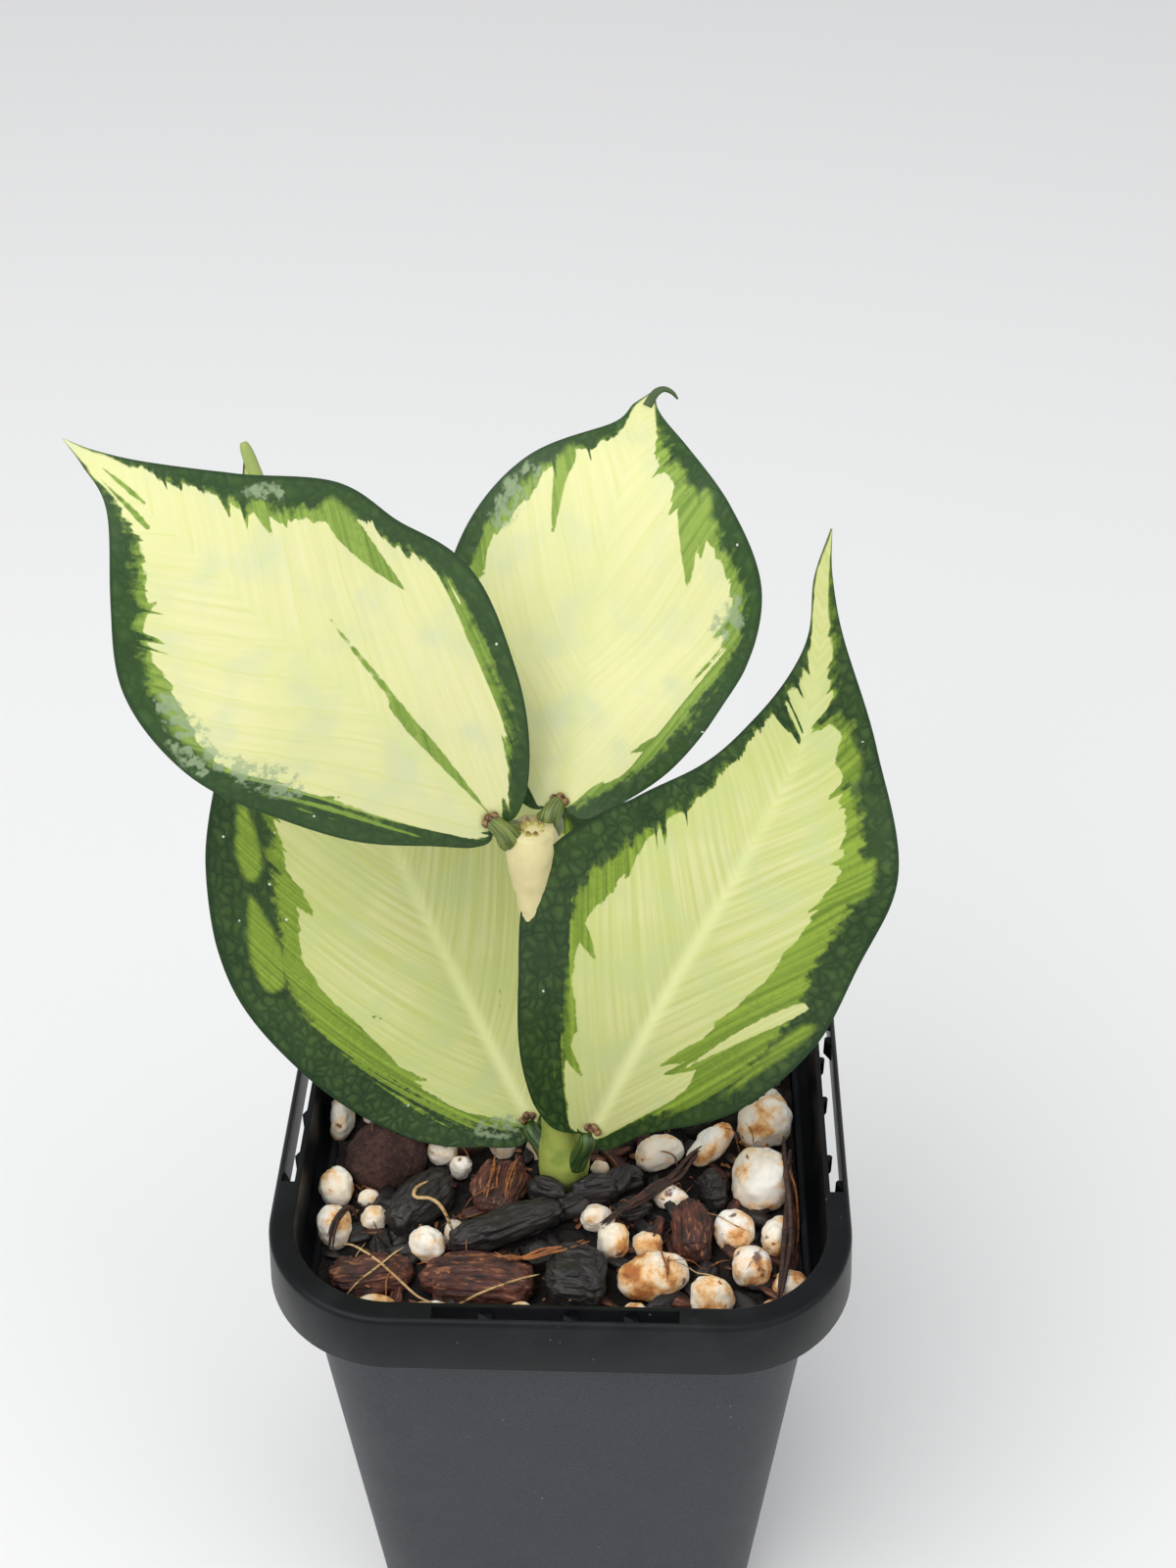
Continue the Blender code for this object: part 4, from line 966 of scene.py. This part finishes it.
def with_poles(many):
    """Points of many[piece, row, point, xyz] as one list, followed by the poles at both ends of each piece."""
    return np.concatenate([many.reshape(-1, 3), many[:, 0].mean(axis=1), many[:, -1].mean(axis=1)])


def joined_rings(name, many, finish, own=None):
    """One mesh from several closed ring sets of equal shape, and each point's place in its own stone."""
    pieces, rows, count, _ = many.shape
    first = np.arange(pieces)[:, None, None] * rows * count
    here = first + np.arange(rows * count).reshape(rows, count)
    ahead = np.roll(here, -1, axis=2)
    quads = np.stack([here[:, :-1], ahead[:, :-1], ahead[:, 1:], here[:, 1:]], axis=-1).reshape(-1, 4)
    poles = pieces * rows * count + np.arange(2 * pieces).reshape(2, pieces, 1)
    low = np.stack([ahead[:, 0], here[:, 0], np.broadcast_to(poles[0], (pieces, count))], axis=-1).reshape(-1, 3)
    high = np.stack([here[:, -1], ahead[:, -1], np.broadcast_to(poles[1], (pieces, count))], axis=-1).reshape(-1, 3)
    mesh = bpy.data.meshes.new(name)
    mesh.from_pydata((with_poles(many) * MM).tolist(), [], quads.tolist() + low.tolist() + high.tolist())
    mesh.shade_smooth()
    mesh.materials.append(finish)
    piece = bpy.data.objects.new(name, mesh)
    bpy.context.scene.collection.objects.link(piece)
    if own is not None:
        store(piece, "own", with_poles(own), "FLOAT_VECTOR")
    return piece


def popped(points, seed):
    """Mm of relief on perlite: soft swellings, then small pits where one noise is high."""
    swell = 0.34 * lattice_noise(points, 2.1, seed) + 0.18 * lattice_noise(points, 0.8, seed + 1)
    pits = np.clip(lattice_noise(points, 0.7, seed + 2) - 0.45, 0, 1)
    return swell - 0.35 * pits


def grainy(points, seed):
    return 0.28 * lattice_noise(points, 1.0, seed) + 0.2 * lattice_noise(points, 0.45, seed + 1)


def fibrous(points, seed):
    """Mm of relief on husk and charcoal: noise drawn out along the lump's length, and a broken surface."""
    drawn = points / np.array([5.0, 1.0, 1.0])
    return (0.5 * lattice_noise(drawn, 0.55, seed) + 0.25 * lattice_noise(drawn, 0.25, seed + 1)
            + 0.5 * lattice_noise(points, 2.2, seed + 2))


def perlite_finish():
    """Chalk white, creamy in patches, toasted tan and rust in a few spots."""
    shader = Shader("rusty_perlite")
    place = shader.place()
    front = shader.parts(place)[1].step(-0.014, -0.036)
    soft = shader.noise(place, 120.0, 3.0)
    toast = (shader.noise(place, 95.0, 1.0) - 0.5) * 0.30
    patch = shader.noise(place, 230.0, 4.0, 0.6) * 0.85 + 0.10 + toast + front * 0.05
    spot = shader.noise(place, 360.0, 3.0)
    colour = shader.mix(soft.step(0.35, 0.7), (0.90, 0.87, 0.80), (0.86, 0.76, 0.60))
    colour = shader.mix(patch.step(0.46, 0.66) * 0.95, colour, (0.84, 0.47, 0.14))
    colour = shader.mix(patch.step(0.56, 0.72) * 0.95, colour, (0.42, 0.13, 0.03))
    colour = shader.mix(spot.step(0.64, 0.72) * 0.9, colour, (0.13, 0.05, 0.03))
    grain = shader.noise(place, 2600.0, 3.0)
    return shader.finish(base_color=colour, roughness=0.82, normal=shader.bump(grain, 0.00018, 0.6),
                         subsurface_weight=0.12, subsurface_scale=0.001, subsurface_radius=(1.0, 0.8, 0.6))


def woody_finish(name, dark, pale, streak_colour, gloss, lines=0.6):
    """Fibres drawn out along each stone's own length: dark wood with paler threads, which on charcoal are painted
    sheen.
    """
    shader = Shader(name)
    own = shader.attribute("own", 1)
    threads = shader.noise(shader.scaled(own, (0.16, 1.0, 1.0)), 1.7, 3.0)
    broad = shader.noise(own, 0.3, 3.0)
    colour = shader.mix(broad.step(0.3, 0.7), dark, pale)
    colour = shader.mix(threads.step(0.55, 0.68) * lines, colour, streak_colour)
    colour = shader.mix(threads.step(0.45, 0.36) * 0.7, colour, (0.008, 0.005, 0.004))
    return shader.finish(base_color=colour, roughness=threads * -0.3 + gloss,
                         normal=shader.bump(threads * 0.7 + broad * 0.5, 0.00045, 0.9))


def scoria_finish():
    shader = Shader("brown_scoria")
    place = shader.place()
    patch = shader.noise(place, 260.0, 4.0)
    grain = shader.noise(place, 1300.0, 4.0, 0.7)
    colour = shader.mix(patch.step(0.35, 0.7), (0.045, 0.017, 0.012), (0.10, 0.042, 0.031))
    colour = shader.mix(grain.step(0.56, 0.70) * 0.5, colour, (0.24, 0.12, 0.085))
    colour = shader.mix(grain.step(0.46, 0.38) * 0.7, colour, (0.015, 0.006, 0.005))
    return shader.finish(base_color=colour, roughness=0.95, normal=shader.bump(grain, 0.0012, 1.0))


white = perlite_finish()
husk = woody_finish("red_husk", (0.030, 0.011, 0.008), (0.12, 0.036, 0.022), (0.42, 0.17, 0.07), 0.85)
# Charcoal's paler threads are painted sheen along its fibres; the charcoal itself is black.
coal = woody_finish("charcoal", (0.010, 0.009, 0.009), (0.024, 0.019, 0.018), (0.075, 0.055, 0.047), 0.68, 0.4)
rock = scoria_finish()
KINDS = [
    ("perlite", PERLITE, 0.15, 0.86, popped, white, "perlite_white"),
    ("scoria_pebble", SCORIA, 0.05, 1.0, grainy, rock, "scoria_brown"),
    ("bark_chip", BARK, 0.06, 0.55, fibrous, husk, "husk_brown"),
    ("charcoal", CHARCOAL, 0.08, 0.6, fibrous, coal, "charcoal_black"),
]
for kind, places, rough, boxy, detail, finish, slot_name in KINDS:
    for number, (place, half, turn) in enumerate(places, start=1):
        rings, own = lump_rings(place, half, turn, rough, f"{kind}{number}", boxy, detail=detail)
        lump = joined_rings(f"fine_{kind}_{number:02d}", rings[None], finish, own[None])
        dress(lump, slot_name, f"{kind}_{number:02d}")
print("lumps:", sum(len(kind[1]) for kind in KINDS))

# %% Bed of crumbs
MIX_TOP = 91.0
HOLE = (0.1, -9.1)
HOLE_RADIUS = 4.4
HOLE_FLOOR = 63.7
MIX_GAP = 0.3


def mix_height(x, y):
    """The mix's top in mm: a sum of waves of a few lengths."""
    return MIX_TOP + (
        0.55 * np.sin(0.45 * x + 1.0) * np.cos(0.38 * y) + 0.35 * np.sin(0.9 * x - 0.7 * y)
        + 0.25 * np.cos(1.3 * y + 0.5 * x))


def dome(x, y, place, half, turn, grow=0.0):
    """How far up a lump's dome each point lies: 1 over its middle, 0 from its edge outwards."""
    c, s = math.cos(math.radians(turn)), math.sin(math.radians(turn))
    along = (c * (x - place[0]) + s * (y - place[1])) / (half[0] + grow)
    over = (c * (y - place[1]) - s * (x - place[0])) / (half[1] + grow)
    return np.sqrt(np.clip(1 - along**2 - over**2, 0, 1))


def bed_height(x, y):
    """Waves and crumbs, lower inside the stem's hole and in a dimple below each lump."""
    flat = np.stack([x, y, 0 * x], axis=-1)
    crumbs = 0.55 * lattice_noise(flat, 1.7, 41) + 0.4 * lattice_noise(flat, 0.8, 42)
    height = mix_height(x, y) - 0.3 + crumbs
    for _, places, *_ in KINDS:
        for place, half, turn in places:
            share = dome(x, y, place, half, turn, MIX_GAP)
            under = place[2] - (half[2] + 2 * MIX_GAP) * share
            height = np.where(share > 0, np.minimum(height, under), height)
    return np.where(np.hypot(x - HOLE[0], y - HOLE[1]) < HOLE_RADIUS, HOLE_FLOOR, height)


def bed_rings():
    """Up the side of the fill, then rings that shrink to the middle of its top."""
    low, high = POT_FLOOR + MIX_GAP, MIX_TOP - 4
    wall = BODY_WALL + MIX_GAP
    section = [(body_half(h) - wall, body_core(h), h) for h in (low, high)]
    half, core, _ = section[-1]
    side = square_rings(section, 40, 40)
    top = np.concatenate([square_rings([(half * share, core * share, 0)], 40, 40)
                          for share in np.linspace(1, 0.004, 120)])
    top[..., 2] = bed_height(top[..., 0], top[..., 1])
    return np.concatenate([side, top])


def bed_finish():
    shader = Shader("dark_crumbs_with_painted_shade")
    place = shader.place()
    coarse = shader.noise(place, 420.0, 4.0)
    fine = shader.noise(place, 1900.0, 4.0)
    # The near-black crumb colours are partly the mix's own dark colour and partly painted shade in the gaps between
    # lumps.
    colour = shader.mix(coarse.step(0.35, 0.7), (0.0045, 0.0033, 0.003), (0.014, 0.008, 0.006))
    colour = shader.mix(fine.step(0.62, 0.75) * 0.5, colour, (0.09, 0.038, 0.02))
    return shader.finish(base_color=colour, roughness=0.9, normal=shader.bump(coarse + fine * 0.7, 0.0009, 1.0))


bed = dress(ring_mesh("crumb_bed", bed_rings() * MM, bed_finish()), "mix_dark", "potting_mix")

# %% [markdown]
# Between the named lumps lie smaller ones. Their places come from a seeded rule that sets down the largest first
# and tries again wherever two would touch.

# %% Small lumps between
GRAINS = 58
GRAIN_TRIES = 60
GRAIN_SIZES = (1.3, 4.2)


def outside(x, y, size, ellipse):
    """Whether a round grain of this half size lies outside a turned ellipse, in mm."""
    (other_x, other_y), (half_x, half_y), turn = ellipse
    cosine, sine = math.cos(math.radians(turn)), math.sin(math.radians(turn))
    along = (cosine * (x - other_x) + sine * (y - other_y)) / (half_x + size)
    over = (cosine * (y - other_y) - sine * (x - other_x)) / (half_y + size)
    return math.hypot(along, over) > 1


def grain_places():
    """Places and sizes in mm: each draw is kept if it lies inside the mix and clear of those before it."""
    draw = random.Random(7)
    half = body_half(MIX_TOP)
    inner = half - BODY_WALL - MIX_GAP
    corner = BODY_CORNER * (0.75 + 0.25 * MIX_TOP / POT_HEIGHT) - BODY_WALL - MIX_GAP
    taken = [(place[:2], size[:2], turn) for _, places, *_ in KINDS for place, size, turn in places]
    taken.append((HOLE, (HOLE_RADIUS, HOLE_RADIUS), 0))
    made = []
    for size in sorted((draw.uniform(*GRAIN_SIZES) for _ in range(GRAINS)), reverse=True):
        for _ in range(GRAIN_TRIES):
            x, y = draw.uniform(-half, half), draw.uniform(-half, half)
            beyond = [max(0.0, abs(place) - inner + corner) for place in (x, y)]
            clear = all(outside(x, y, size, ellipse) for ellipse in taken)
            if math.hypot(*beyond) <= corner - size and clear:
                taken.append(((x, y), (size, size), 0))
                spread = (size, size * draw.uniform(0.7, 1), size * 0.8)
                made.append(((x, y, float(mix_height(x, y)) + 0.1 * size), spread, draw.uniform(0, 180)))
                break
    return made


places = grain_places()
picks = np.random.default_rng(5).choice(3, len(places), p=[0.45, 0.3, 0.25])
SMALL = [
    ("small_perlite", 0.15, 0.86, popped, white, "perlite_white"),
    ("small_husk", 0.10, 0.6, fibrous, husk, "husk_brown"),
    ("small_charcoal", 0.10, 0.6, fibrous, coal, "charcoal_black"),
]
for index, (name, rough, boxy, detail, finish, slot_name) in enumerate(SMALL):
    sets = [lump_rings(*place, rough, f"{name}{number}", boxy, 20, 28, detail)
            for number, place in enumerate(places) if picks[number] == index]
    placed, own = np.array(sets).transpose(1, 0, 2, 3, 4)
    dress(joined_rings(name, placed, finish, own), slot_name)
print("small lumps:", len(places))

# %% [markdown]
# Charcoal is heaped against the foot of the cane. Its chunks overlap, so their places are listed one by one.

# %% Heap at the foot
HEAP = [
    ((4.8, -14.0, 95.2), (3.6, 1.7, 2.6), 12), ((-2.2, -14.6, 95.4), (3.2, 1.6, 2.7), -18),
    ((8.2, -11.6, 94.8), (2.4, 1.5, 2.0), 64), ((1.2, -16.2, 94.6), (2.8, 1.5, 2.2), 30)]
heap = [lump_rings(*chunk, 0.1, f"heap{number}", 0.6, 30, 44, fibrous) for number, chunk in enumerate(HEAP)]
placed, own = np.array(heap).transpose(1, 0, 2, 3, 4)
dress(joined_rings("charcoal_heap", placed, coal, own), "charcoal_black")

# %% [markdown]
# Crumbs and shards fill the gaps: shards of husk, charcoal and rusty grit. They are too many to place by hand, so a seeded
# rule scatters them over the bed and turns each at random. At this size a few dozen faces each are enough.

# %% Crumbs
CRUMBS = [("husk_shards", 420, (0.6, 4.0), 0.42), ("charcoal_shards", 380, (0.6, 3.4), 0.55),
          ("rusty_grit", 260, (0.3, 1.2), 0.6)]
GRIT_HALF = 0.45
LUMPS = [lump for kind in KINDS for lump in kind[1]] + places


def top_height(x, y):
    """Mm up to the bed, or to the top of whatever lump lies there."""
    height = bed_height(x, y)
    for place, half, turn in LUMPS:
        share = dome(x, y, place, half, turn)
        height = np.where(share > 0, np.maximum(height, place[2] + half[2] * share), height)
    return height


def scattered(draw, count, margin):
    """Random places inside the fill, in mm: draws over its square that keep clear of the rounded corners."""
    half, core = body_half(MIX_TOP) - BODY_WALL - margin, body_core(MIX_TOP)
    spots = draw.uniform(-half, half, (4 * count, 2))
    beyond = np.clip(np.abs(spots) - core, 0, None)
    kept = (np.hypot(*beyond.T) < half - core) & (np.hypot(spots[:, 0] - HOLE[0], spots[:, 1] - HOLE[1]) > 5.0)
    return spots[kept][:count]


def turns(angles):
    """Turns about z, then tips about x, as matrices for rows of points."""
    (c, s), (d, t) = (np.cos(angles[:, 0]), np.sin(angles[:, 0])), (np.cos(angles[:, 1]), np.sin(angles[:, 1]))
    zero, one = np.zeros_like(c), np.ones_like(c)
    about_z = np.stack([c, s, zero, -s, c, zero, zero, zero, one], axis=-1).reshape(-1, 3, 3)
    about_x = np.stack([one, zero, zero, zero, d, t, zero, -t, d], axis=-1).reshape(-1, 3, 3)
    return about_x @ about_z


def crumb_sets(seed, count, sizes, slender):
    """Crumbs as ring sets [piece, row, point, xyz], placed and in their own axes."""
    draw = np.random.default_rng(seed)
    spots = scattered(draw, count, 2.4)
    long = sizes[0] + (sizes[1] - sizes[0]) * draw.uniform(0, 1, len(spots))**1.6
    half = long[:, None] * np.stack([np.ones(len(spots)), draw.uniform(slender, 1, len(spots)) * slender,
                                     draw.uniform(0.3, 0.8, len(spots)) * slender], axis=-1)
    way = sphere_ways(5, 8)
    rough = 1 + 0.25 * draw.uniform(-1, 1, (len(spots), 5, 8, 1))
    own = np.copysign(np.abs(way)**0.7, way)[None] * rough * half[:, None, None]
    angles = np.stack([draw.uniform(0, 6.3, len(spots)), draw.normal(0, 0.35, len(spots))], axis=-1)
    placed = np.einsum("nrci,nij->nrcj", own, turns(angles))
    height = top_height(spots[:, 0], spots[:, 1])
    lumped = height > bed_height(spots[:, 0], spots[:, 1]) + 0.5
    keep = ~lumped | (long < GRIT_HALF)
    middle = np.column_stack([spots, height + half[:, 2] * 0.6 + ~lumped * draw.uniform(0, 0.9, len(spots))])
    return (placed + middle[:, None, None])[keep], own[keep]


grit = woody_finish("rusty_grit", (0.16, 0.055, 0.022), (0.42, 0.17, 0.06), (0.62, 0.36, 0.16), 0.85)
finishes = [husk, coal, grit]
for seed, ((name, count, sizes, slender), finish) in enumerate(zip(CRUMBS, finishes)):
    placed, own = crumb_sets(seed + 11, count, sizes, slender)
    dress(joined_rings(name, placed, finish, own), ("husk_brown", "charcoal_black", "husk_brown")[seed])
    print(name, len(placed))

# %% [markdown]
# Coir threads lie on top. The few that catch the eye are drawn as lists of points, some as bundles of
# strands, and finer ones are scattered. A thread is stiff, so its height is the top under it smoothed along its run.

# %% Threads
HAND_THREADS = {
    "straw": [
        ([(-20.1, -14.7), (-21.8, -16.1), (-21.8, -17.8), (-19.4, -17.7), (-17.1, -19.1), (-16.0, -20.6)], 0.30, 1),
        ([(-33.8, -23.7), (-30.3, -25.1), (-26.4, -27.9), (-23.2, -31.0), (-20.2, -33.4), (-18.0, -34.4)], 0.20, 1),
        ([(-30.6, -33.2), (-26.6, -29.2), (-22.9, -24.8)], 0.16, 1),
        ([(-15.9, -34.2), (-11.8, -33.4), (-7.0, -31.2), (-2.8, -29.5)], 0.20, 1)],
    "orange": [
        ([(-10.1, -26.5), (-6.5, -27.1), (-2.9, -26.3), (0.6, -25.5), (3.7, -24.3)], 0.22, 6),
        ([(-11.6, -15.6), (-11.2, -12.0), (-10.6, -7.6)], 0.15, 3), ([(-8.8, -15.4), (-8.3, -12.0), (-7.6, -8.4)], 0.14, 3),
        ([(33.5, -4.9), (34.3, -9.8), (34.6, -16.5), (34.4, -23.3)], 0.22, 2),
        ([(30.6, -4.7), (32.7, -3.0), (34.6, -4.1)], 0.20, 2)],
    "dark": [
        ([(6.2, -20.7), (10.5, -16.4), (14.8, -12.1), (18.5, -8.5), (20.5, -6.1)], 0.34, 6),
        ([(-34.2, -24.0), (-33.0, -20.5), (-31.0, -17.4)], 0.30, 4),
        ([(34.4, -3.5), (34.0, -12.0), (33.6, -22.0), (31.8, -33.0)], 0.42, 4)],
}
THREAD_ROWS = 26


def thread_rings(points, radius, lift=0.0):
    """One tapered thread: height is the smoothed top under its run, plus its own radius and a lift."""
    share = np.linspace(0, 1, THREAD_ROWS)
    plan = curve_through(points, share)
    top = np.pad(top_height(plan[:, 0], plan[:, 1]), 5, "edge")
    top = np.array([top[row:row + 11].max() for row in range(THREAD_ROWS)])
    kernel = np.hanning(9) / np.hanning(9).sum()
    height = np.convolve(np.pad(top, 4, "edge"), kernel, "valid") + radius * 0.6 + lift
    return tube_rings(np.column_stack([plan, height]), radius * (1 - 0.75 * np.abs(2 * share - 1)**4), 6)


def bundle(draw, points, radius, strands):
    """Strands side by side, each with its own small offsets, so that they part and cross."""
    offsets = draw.normal(0, 0.45 if strands > 1 else 0, (strands, len(points), 2))
    rises = draw.uniform(0, 0.5, strands)
    return [thread_rings(np.array(points) + offset, radius, rise) for offset, rise in zip(offsets, rises)]


def loose_threads(draw, count, lengths, radii):
    """Short threads whose heading wanders as they run."""
    made = []
    for x, y in scattered(draw, count, 5.0):
        headings = draw.uniform(0, 6.3) + np.cumsum(draw.normal(0, 0.22, 5))
        step = draw.uniform(*lengths) / 5
        points = np.array([x, y]) + np.cumsum(step * np.stack([np.cos(headings), np.sin(headings)], axis=-1), axis=0)
        limit = body_half(MIX_TOP) - BODY_WALL - 2.5
        if np.abs(points).max() < limit and np.hypot(*(points - HOLE).T).min() > 5.0:
            made.append(thread_rings(points, draw.uniform(*radii)))
    return made


draw = np.random.default_rng(21)
THREAD_TONES = {
    "straw": ((0.42, 0.24, 0.09), (0.62, 0.42, 0.20), 14), "orange": ((0.22, 0.070, 0.020), (0.42, 0.16, 0.045), 46),
    "dark": ((0.020, 0.009, 0.006), (0.07, 0.028, 0.016), 8)}
for kind, hand in HAND_THREADS.items():
    low_tone, high_tone, loose = THREAD_TONES[kind]
    rings = [ring for points, radius, strands in hand for ring in bundle(draw, points, radius, strands)]
    rings += loose_threads(draw, loose, (3.0, 13.0), (0.07, 0.15))
    finish = woody_finish(kind + "_coir", low_tone, high_tone, high_tone, 0.8)
    dress(joined_rings(kind + "_threads", np.array(rings), finish, np.array(rings)), "husk_brown")
    print(kind, "threads:", len(rings))

# %% [markdown]
# # Stem and stalks
# The stem is a thick green cane with two swollen nodes. Four short stalks leave them, dark green and ribbed.

# %% Stem
STEM_PROFILE = [
    (64, 0.6, -9.4, 2.4), (84, 0.3, -9.2, 2.7), (91, 0.1, -9.1, 3.2), (95, 0.0, -9.0, 3.9), (98, -0.1, -8.9, 3.8),
    (102, -0.4, -8.6, 2.9), (110, -0.9, -7.7, 2.3), (125, -2.0, -5.8, 2.2), (138, -3.0, -4.0, 2.4),
    (146, -3.6, -2.9, 3.0), (151, -3.9, -2.3, 3.8), (154, -4.0, -2.0, 3.9), (156, -4.1, -1.9, 2.8),
]


def stem_finish():
    """Yellow-green at the lower node, cream at the upper, darker and browner at the foot below 93.5 mm."""
    shader = Shader("green_stem")
    place = shader.place()
    x, y, height = shader.parts(place)
    patch = shader.noise(place, 300.0, 3.0)
    lower = height.step(0.140, 0.105)
    colour = shader.mix(lower, (0.66, 0.58, 0.29), (0.34, 0.40, 0.08))
    colour = shader.mix(patch.step(0.4, 0.75) * (lower * 0.5 + 0.12), colour, (0.16, 0.24, 0.04))
    colour = shader.mix(height.step(0.0935, 0.090) * 0.8, colour, (0.10, 0.06, 0.03))
    ribs = shader.noise(shader.scaled(place, (1.0, 1.0, 0.15)), 1300.0, 3.0)
    return shader.finish(base_color=colour, roughness=0.45, normal=shader.bump(ribs, 0.0002, 0.5))


def stalk_finish(name, groove, rib):
    """Ribs run along each stalk: noise in (fraction along, cos a, sin a), drawn out along the first."""
    shader = Shader(name)
    ribs = shader.noise(shader.attribute("own", 1), 1.6, 2.0)
    colour = shader.mix(ribs.step(0.38, 0.60), groove, rib)
    return shader.finish(base_color=colour, roughness=0.42, normal=shader.bump(ribs, 0.0004, 0.6))


def stem_rings():
    """The cane: rings round a curve through the profile, with soft lumps on the nodes."""
    profile = np.array(STEM_PROFILE)
    height = np.linspace(profile[0, 0], profile[-1, 0], 150)
    columns = [np.interp(height, profile[:, 0], profile[:, axis]) for axis in (1, 2, 3)]
    kernel = np.hanning(9) / np.hanning(9).sum()
    smooth = [np.convolve(np.pad(column, 4, "edge"), kernel, "valid") for column in columns]
    path = np.stack([smooth[0], smooth[1], height], axis=-1)
    rings = tube_rings(path, smooth[2], 48)
    centre = path[:, None]
    swell = 0.12 * lattice_noise(rings, 1.4, 61) + 0.06 * lattice_noise(rings, 0.5, 62)
    return rings + unit(rings - centre) * swell[..., None]


stem = dress(ring_mesh("green_cane", stem_rings() * MM, stem_finish()), "stem_green", "stem")
STALK_ROWS = 40
STALK_SIDES = 28
STALK_SHADES = {"upper": stalk_finish("upper_stalk", (0.065, 0.105, 0.022), (0.19, 0.235, 0.05)),
                "lower": stalk_finish("lower_stalk", (0.018, 0.045, 0.010), (0.07, 0.13, 0.025))}
GLAND_PLACE = 0.055


def upper_point(leaf, place):
    """A point on the midrib of the upper face and the normal there."""
    point, normal = leaf_surface(leaf, np.array([[place]]), np.array([[0.0]]))
    return point[0, 0], normal[0, 0]


def stalk_rings(leaf, over):
    """From the cane to the gland over the blade's foot, or on under the blade and along its midrib."""
    start, under = (np.array(point) for point in leaf["stalk"])
    (foot, way), (ahead, way_ahead) = upper_point(leaf, 0.0), upper_point(leaf, 0.22)
    if over:
        gland, lift = upper_point(leaf, GLAND_PLACE)
        knots = [start - lift * 0.6, start * 0.6 + gland * 0.4 + lift * 0.9, gland + lift * 0.1]
        reach = [2.3, 1.55, 1.05]
    else:
        knots = [start, (start + under) / 2, under, foot - way * 1.5, ahead - way_ahead * 1.3]
        reach = [1.7, 1.35, 1.35, 1.25, 0.5]
    share = np.linspace(0, 1, STALK_ROWS)
    path = curve_through(knots, share)
    rings = tube_rings(path, np.interp(share, np.linspace(0, 1, len(reach)), reach), STALK_SIDES)
    return rings + unit(rings - path[:, None]) * (0.05 * lattice_noise(rings, 0.9, 71))[..., None]


angle = np.linspace(0, 2 * np.pi, STALK_SIDES, endpoint=False)
rows, angles = np.meshgrid(np.linspace(0, 1, STALK_ROWS), angle, indexing="ij")
stalk_own = np.stack([rows, 2 * np.cos(angles), 2 * np.sin(angles)], axis=-1)
for name, leaf in LEAVES.items():
    level = name.split("_")[1]
    rings = stalk_rings(leaf, level == "upper")
    dress(joined_rings(name + "_stalk", rings[None], STALK_SHADES[level], stalk_own[None]), "stem_green")

# %% [markdown]
# Where a blade meets its stalk sits a small brown gland of two or three warts, and between the upper stalks the
# growing tip is a tuft of pale scales with brown points. Both are few, so they are placed by a short rule.

# %% Glands and growing tip
WARTS = [(-0.75, 0.0, 0.60), (0.05, 0.35, 0.66), (0.8, -0.05, 0.58)]
SCALES = [(turn, 1.9 + 0.12 * (turn % 7), 0.8) for turn in (-20, 25, 68, 118, 160, 205, 250, 292)]
TIP_FOOT = (-4.0, -2.2, 154.4)


def wart_sets(leaf):
    """Small domes on the upper face at the foot of a blade."""
    point, normal = upper_point(leaf, GLAND_PLACE)
    ahead = unit(upper_point(leaf, GLAND_PLACE + 0.05)[0] - point)
    right = np.cross(ahead, normal)
    sets = []
    for over, along, radius in WARTS:
        centre = point + right * over + ahead * along + normal * 0.35
        way = sphere_ways(12, 16)
        rough = 1 + 0.12 * lattice_noise(way * 3 + centre, 0.8, 81)
        sets.append(centre + way * rough[..., None] * radius)
    return sets


def scale_rings(turn, length, radius):
    """A pointed scale that leans out of the tip."""
    share = np.linspace(0, 1, 14)
    lean = np.array([math.cos(math.radians(turn)), math.sin(math.radians(turn)), 0])
    rise = np.array([0, 0, 1.0]) * length * share[:, None]
    path = np.array(TIP_FOOT) + lean * (1.1 + 0.5 * share[:, None]**1.5) + rise
    return tube_rings(path, radius * (1 - share**2 * 0.92), 14, guide=lean)


def tip_finish():
    shader = Shader("pale_scales")
    place = shader.place()
    height = shader.parts(place)[2]
    patch = shader.noise(place, 900.0, 3.0)
    colour = shader.mix((height + patch * 0.0012).step(0.1568, 0.1574), (0.46, 0.44, 0.12), (0.20, 0.085, 0.03))
    return shader.finish(base_color=colour, roughness=0.5, normal=shader.bump(patch, 0.0002, 0.6))


def gland_finish():
    shader = Shader("brown_gland")
    patch = shader.noise(shader.place(), 1400.0, 3.0)
    colour = shader.mix(patch.step(0.42, 0.62), (0.07, 0.028, 0.012), (0.30, 0.17, 0.065))
    return shader.finish(base_color=colour, roughness=0.6, normal=shader.bump(patch, 0.0002, 0.7))


warts = [ring for leaf in LEAVES.values() for ring in wart_sets(leaf)]
dress(joined_rings("leaf_glands", np.array(warts), gland_finish()), "stem_green")
dress(joined_rings("growing_tip", np.array([scale_rings(*scale) for scale in SCALES]), tip_finish()), "stem_green")
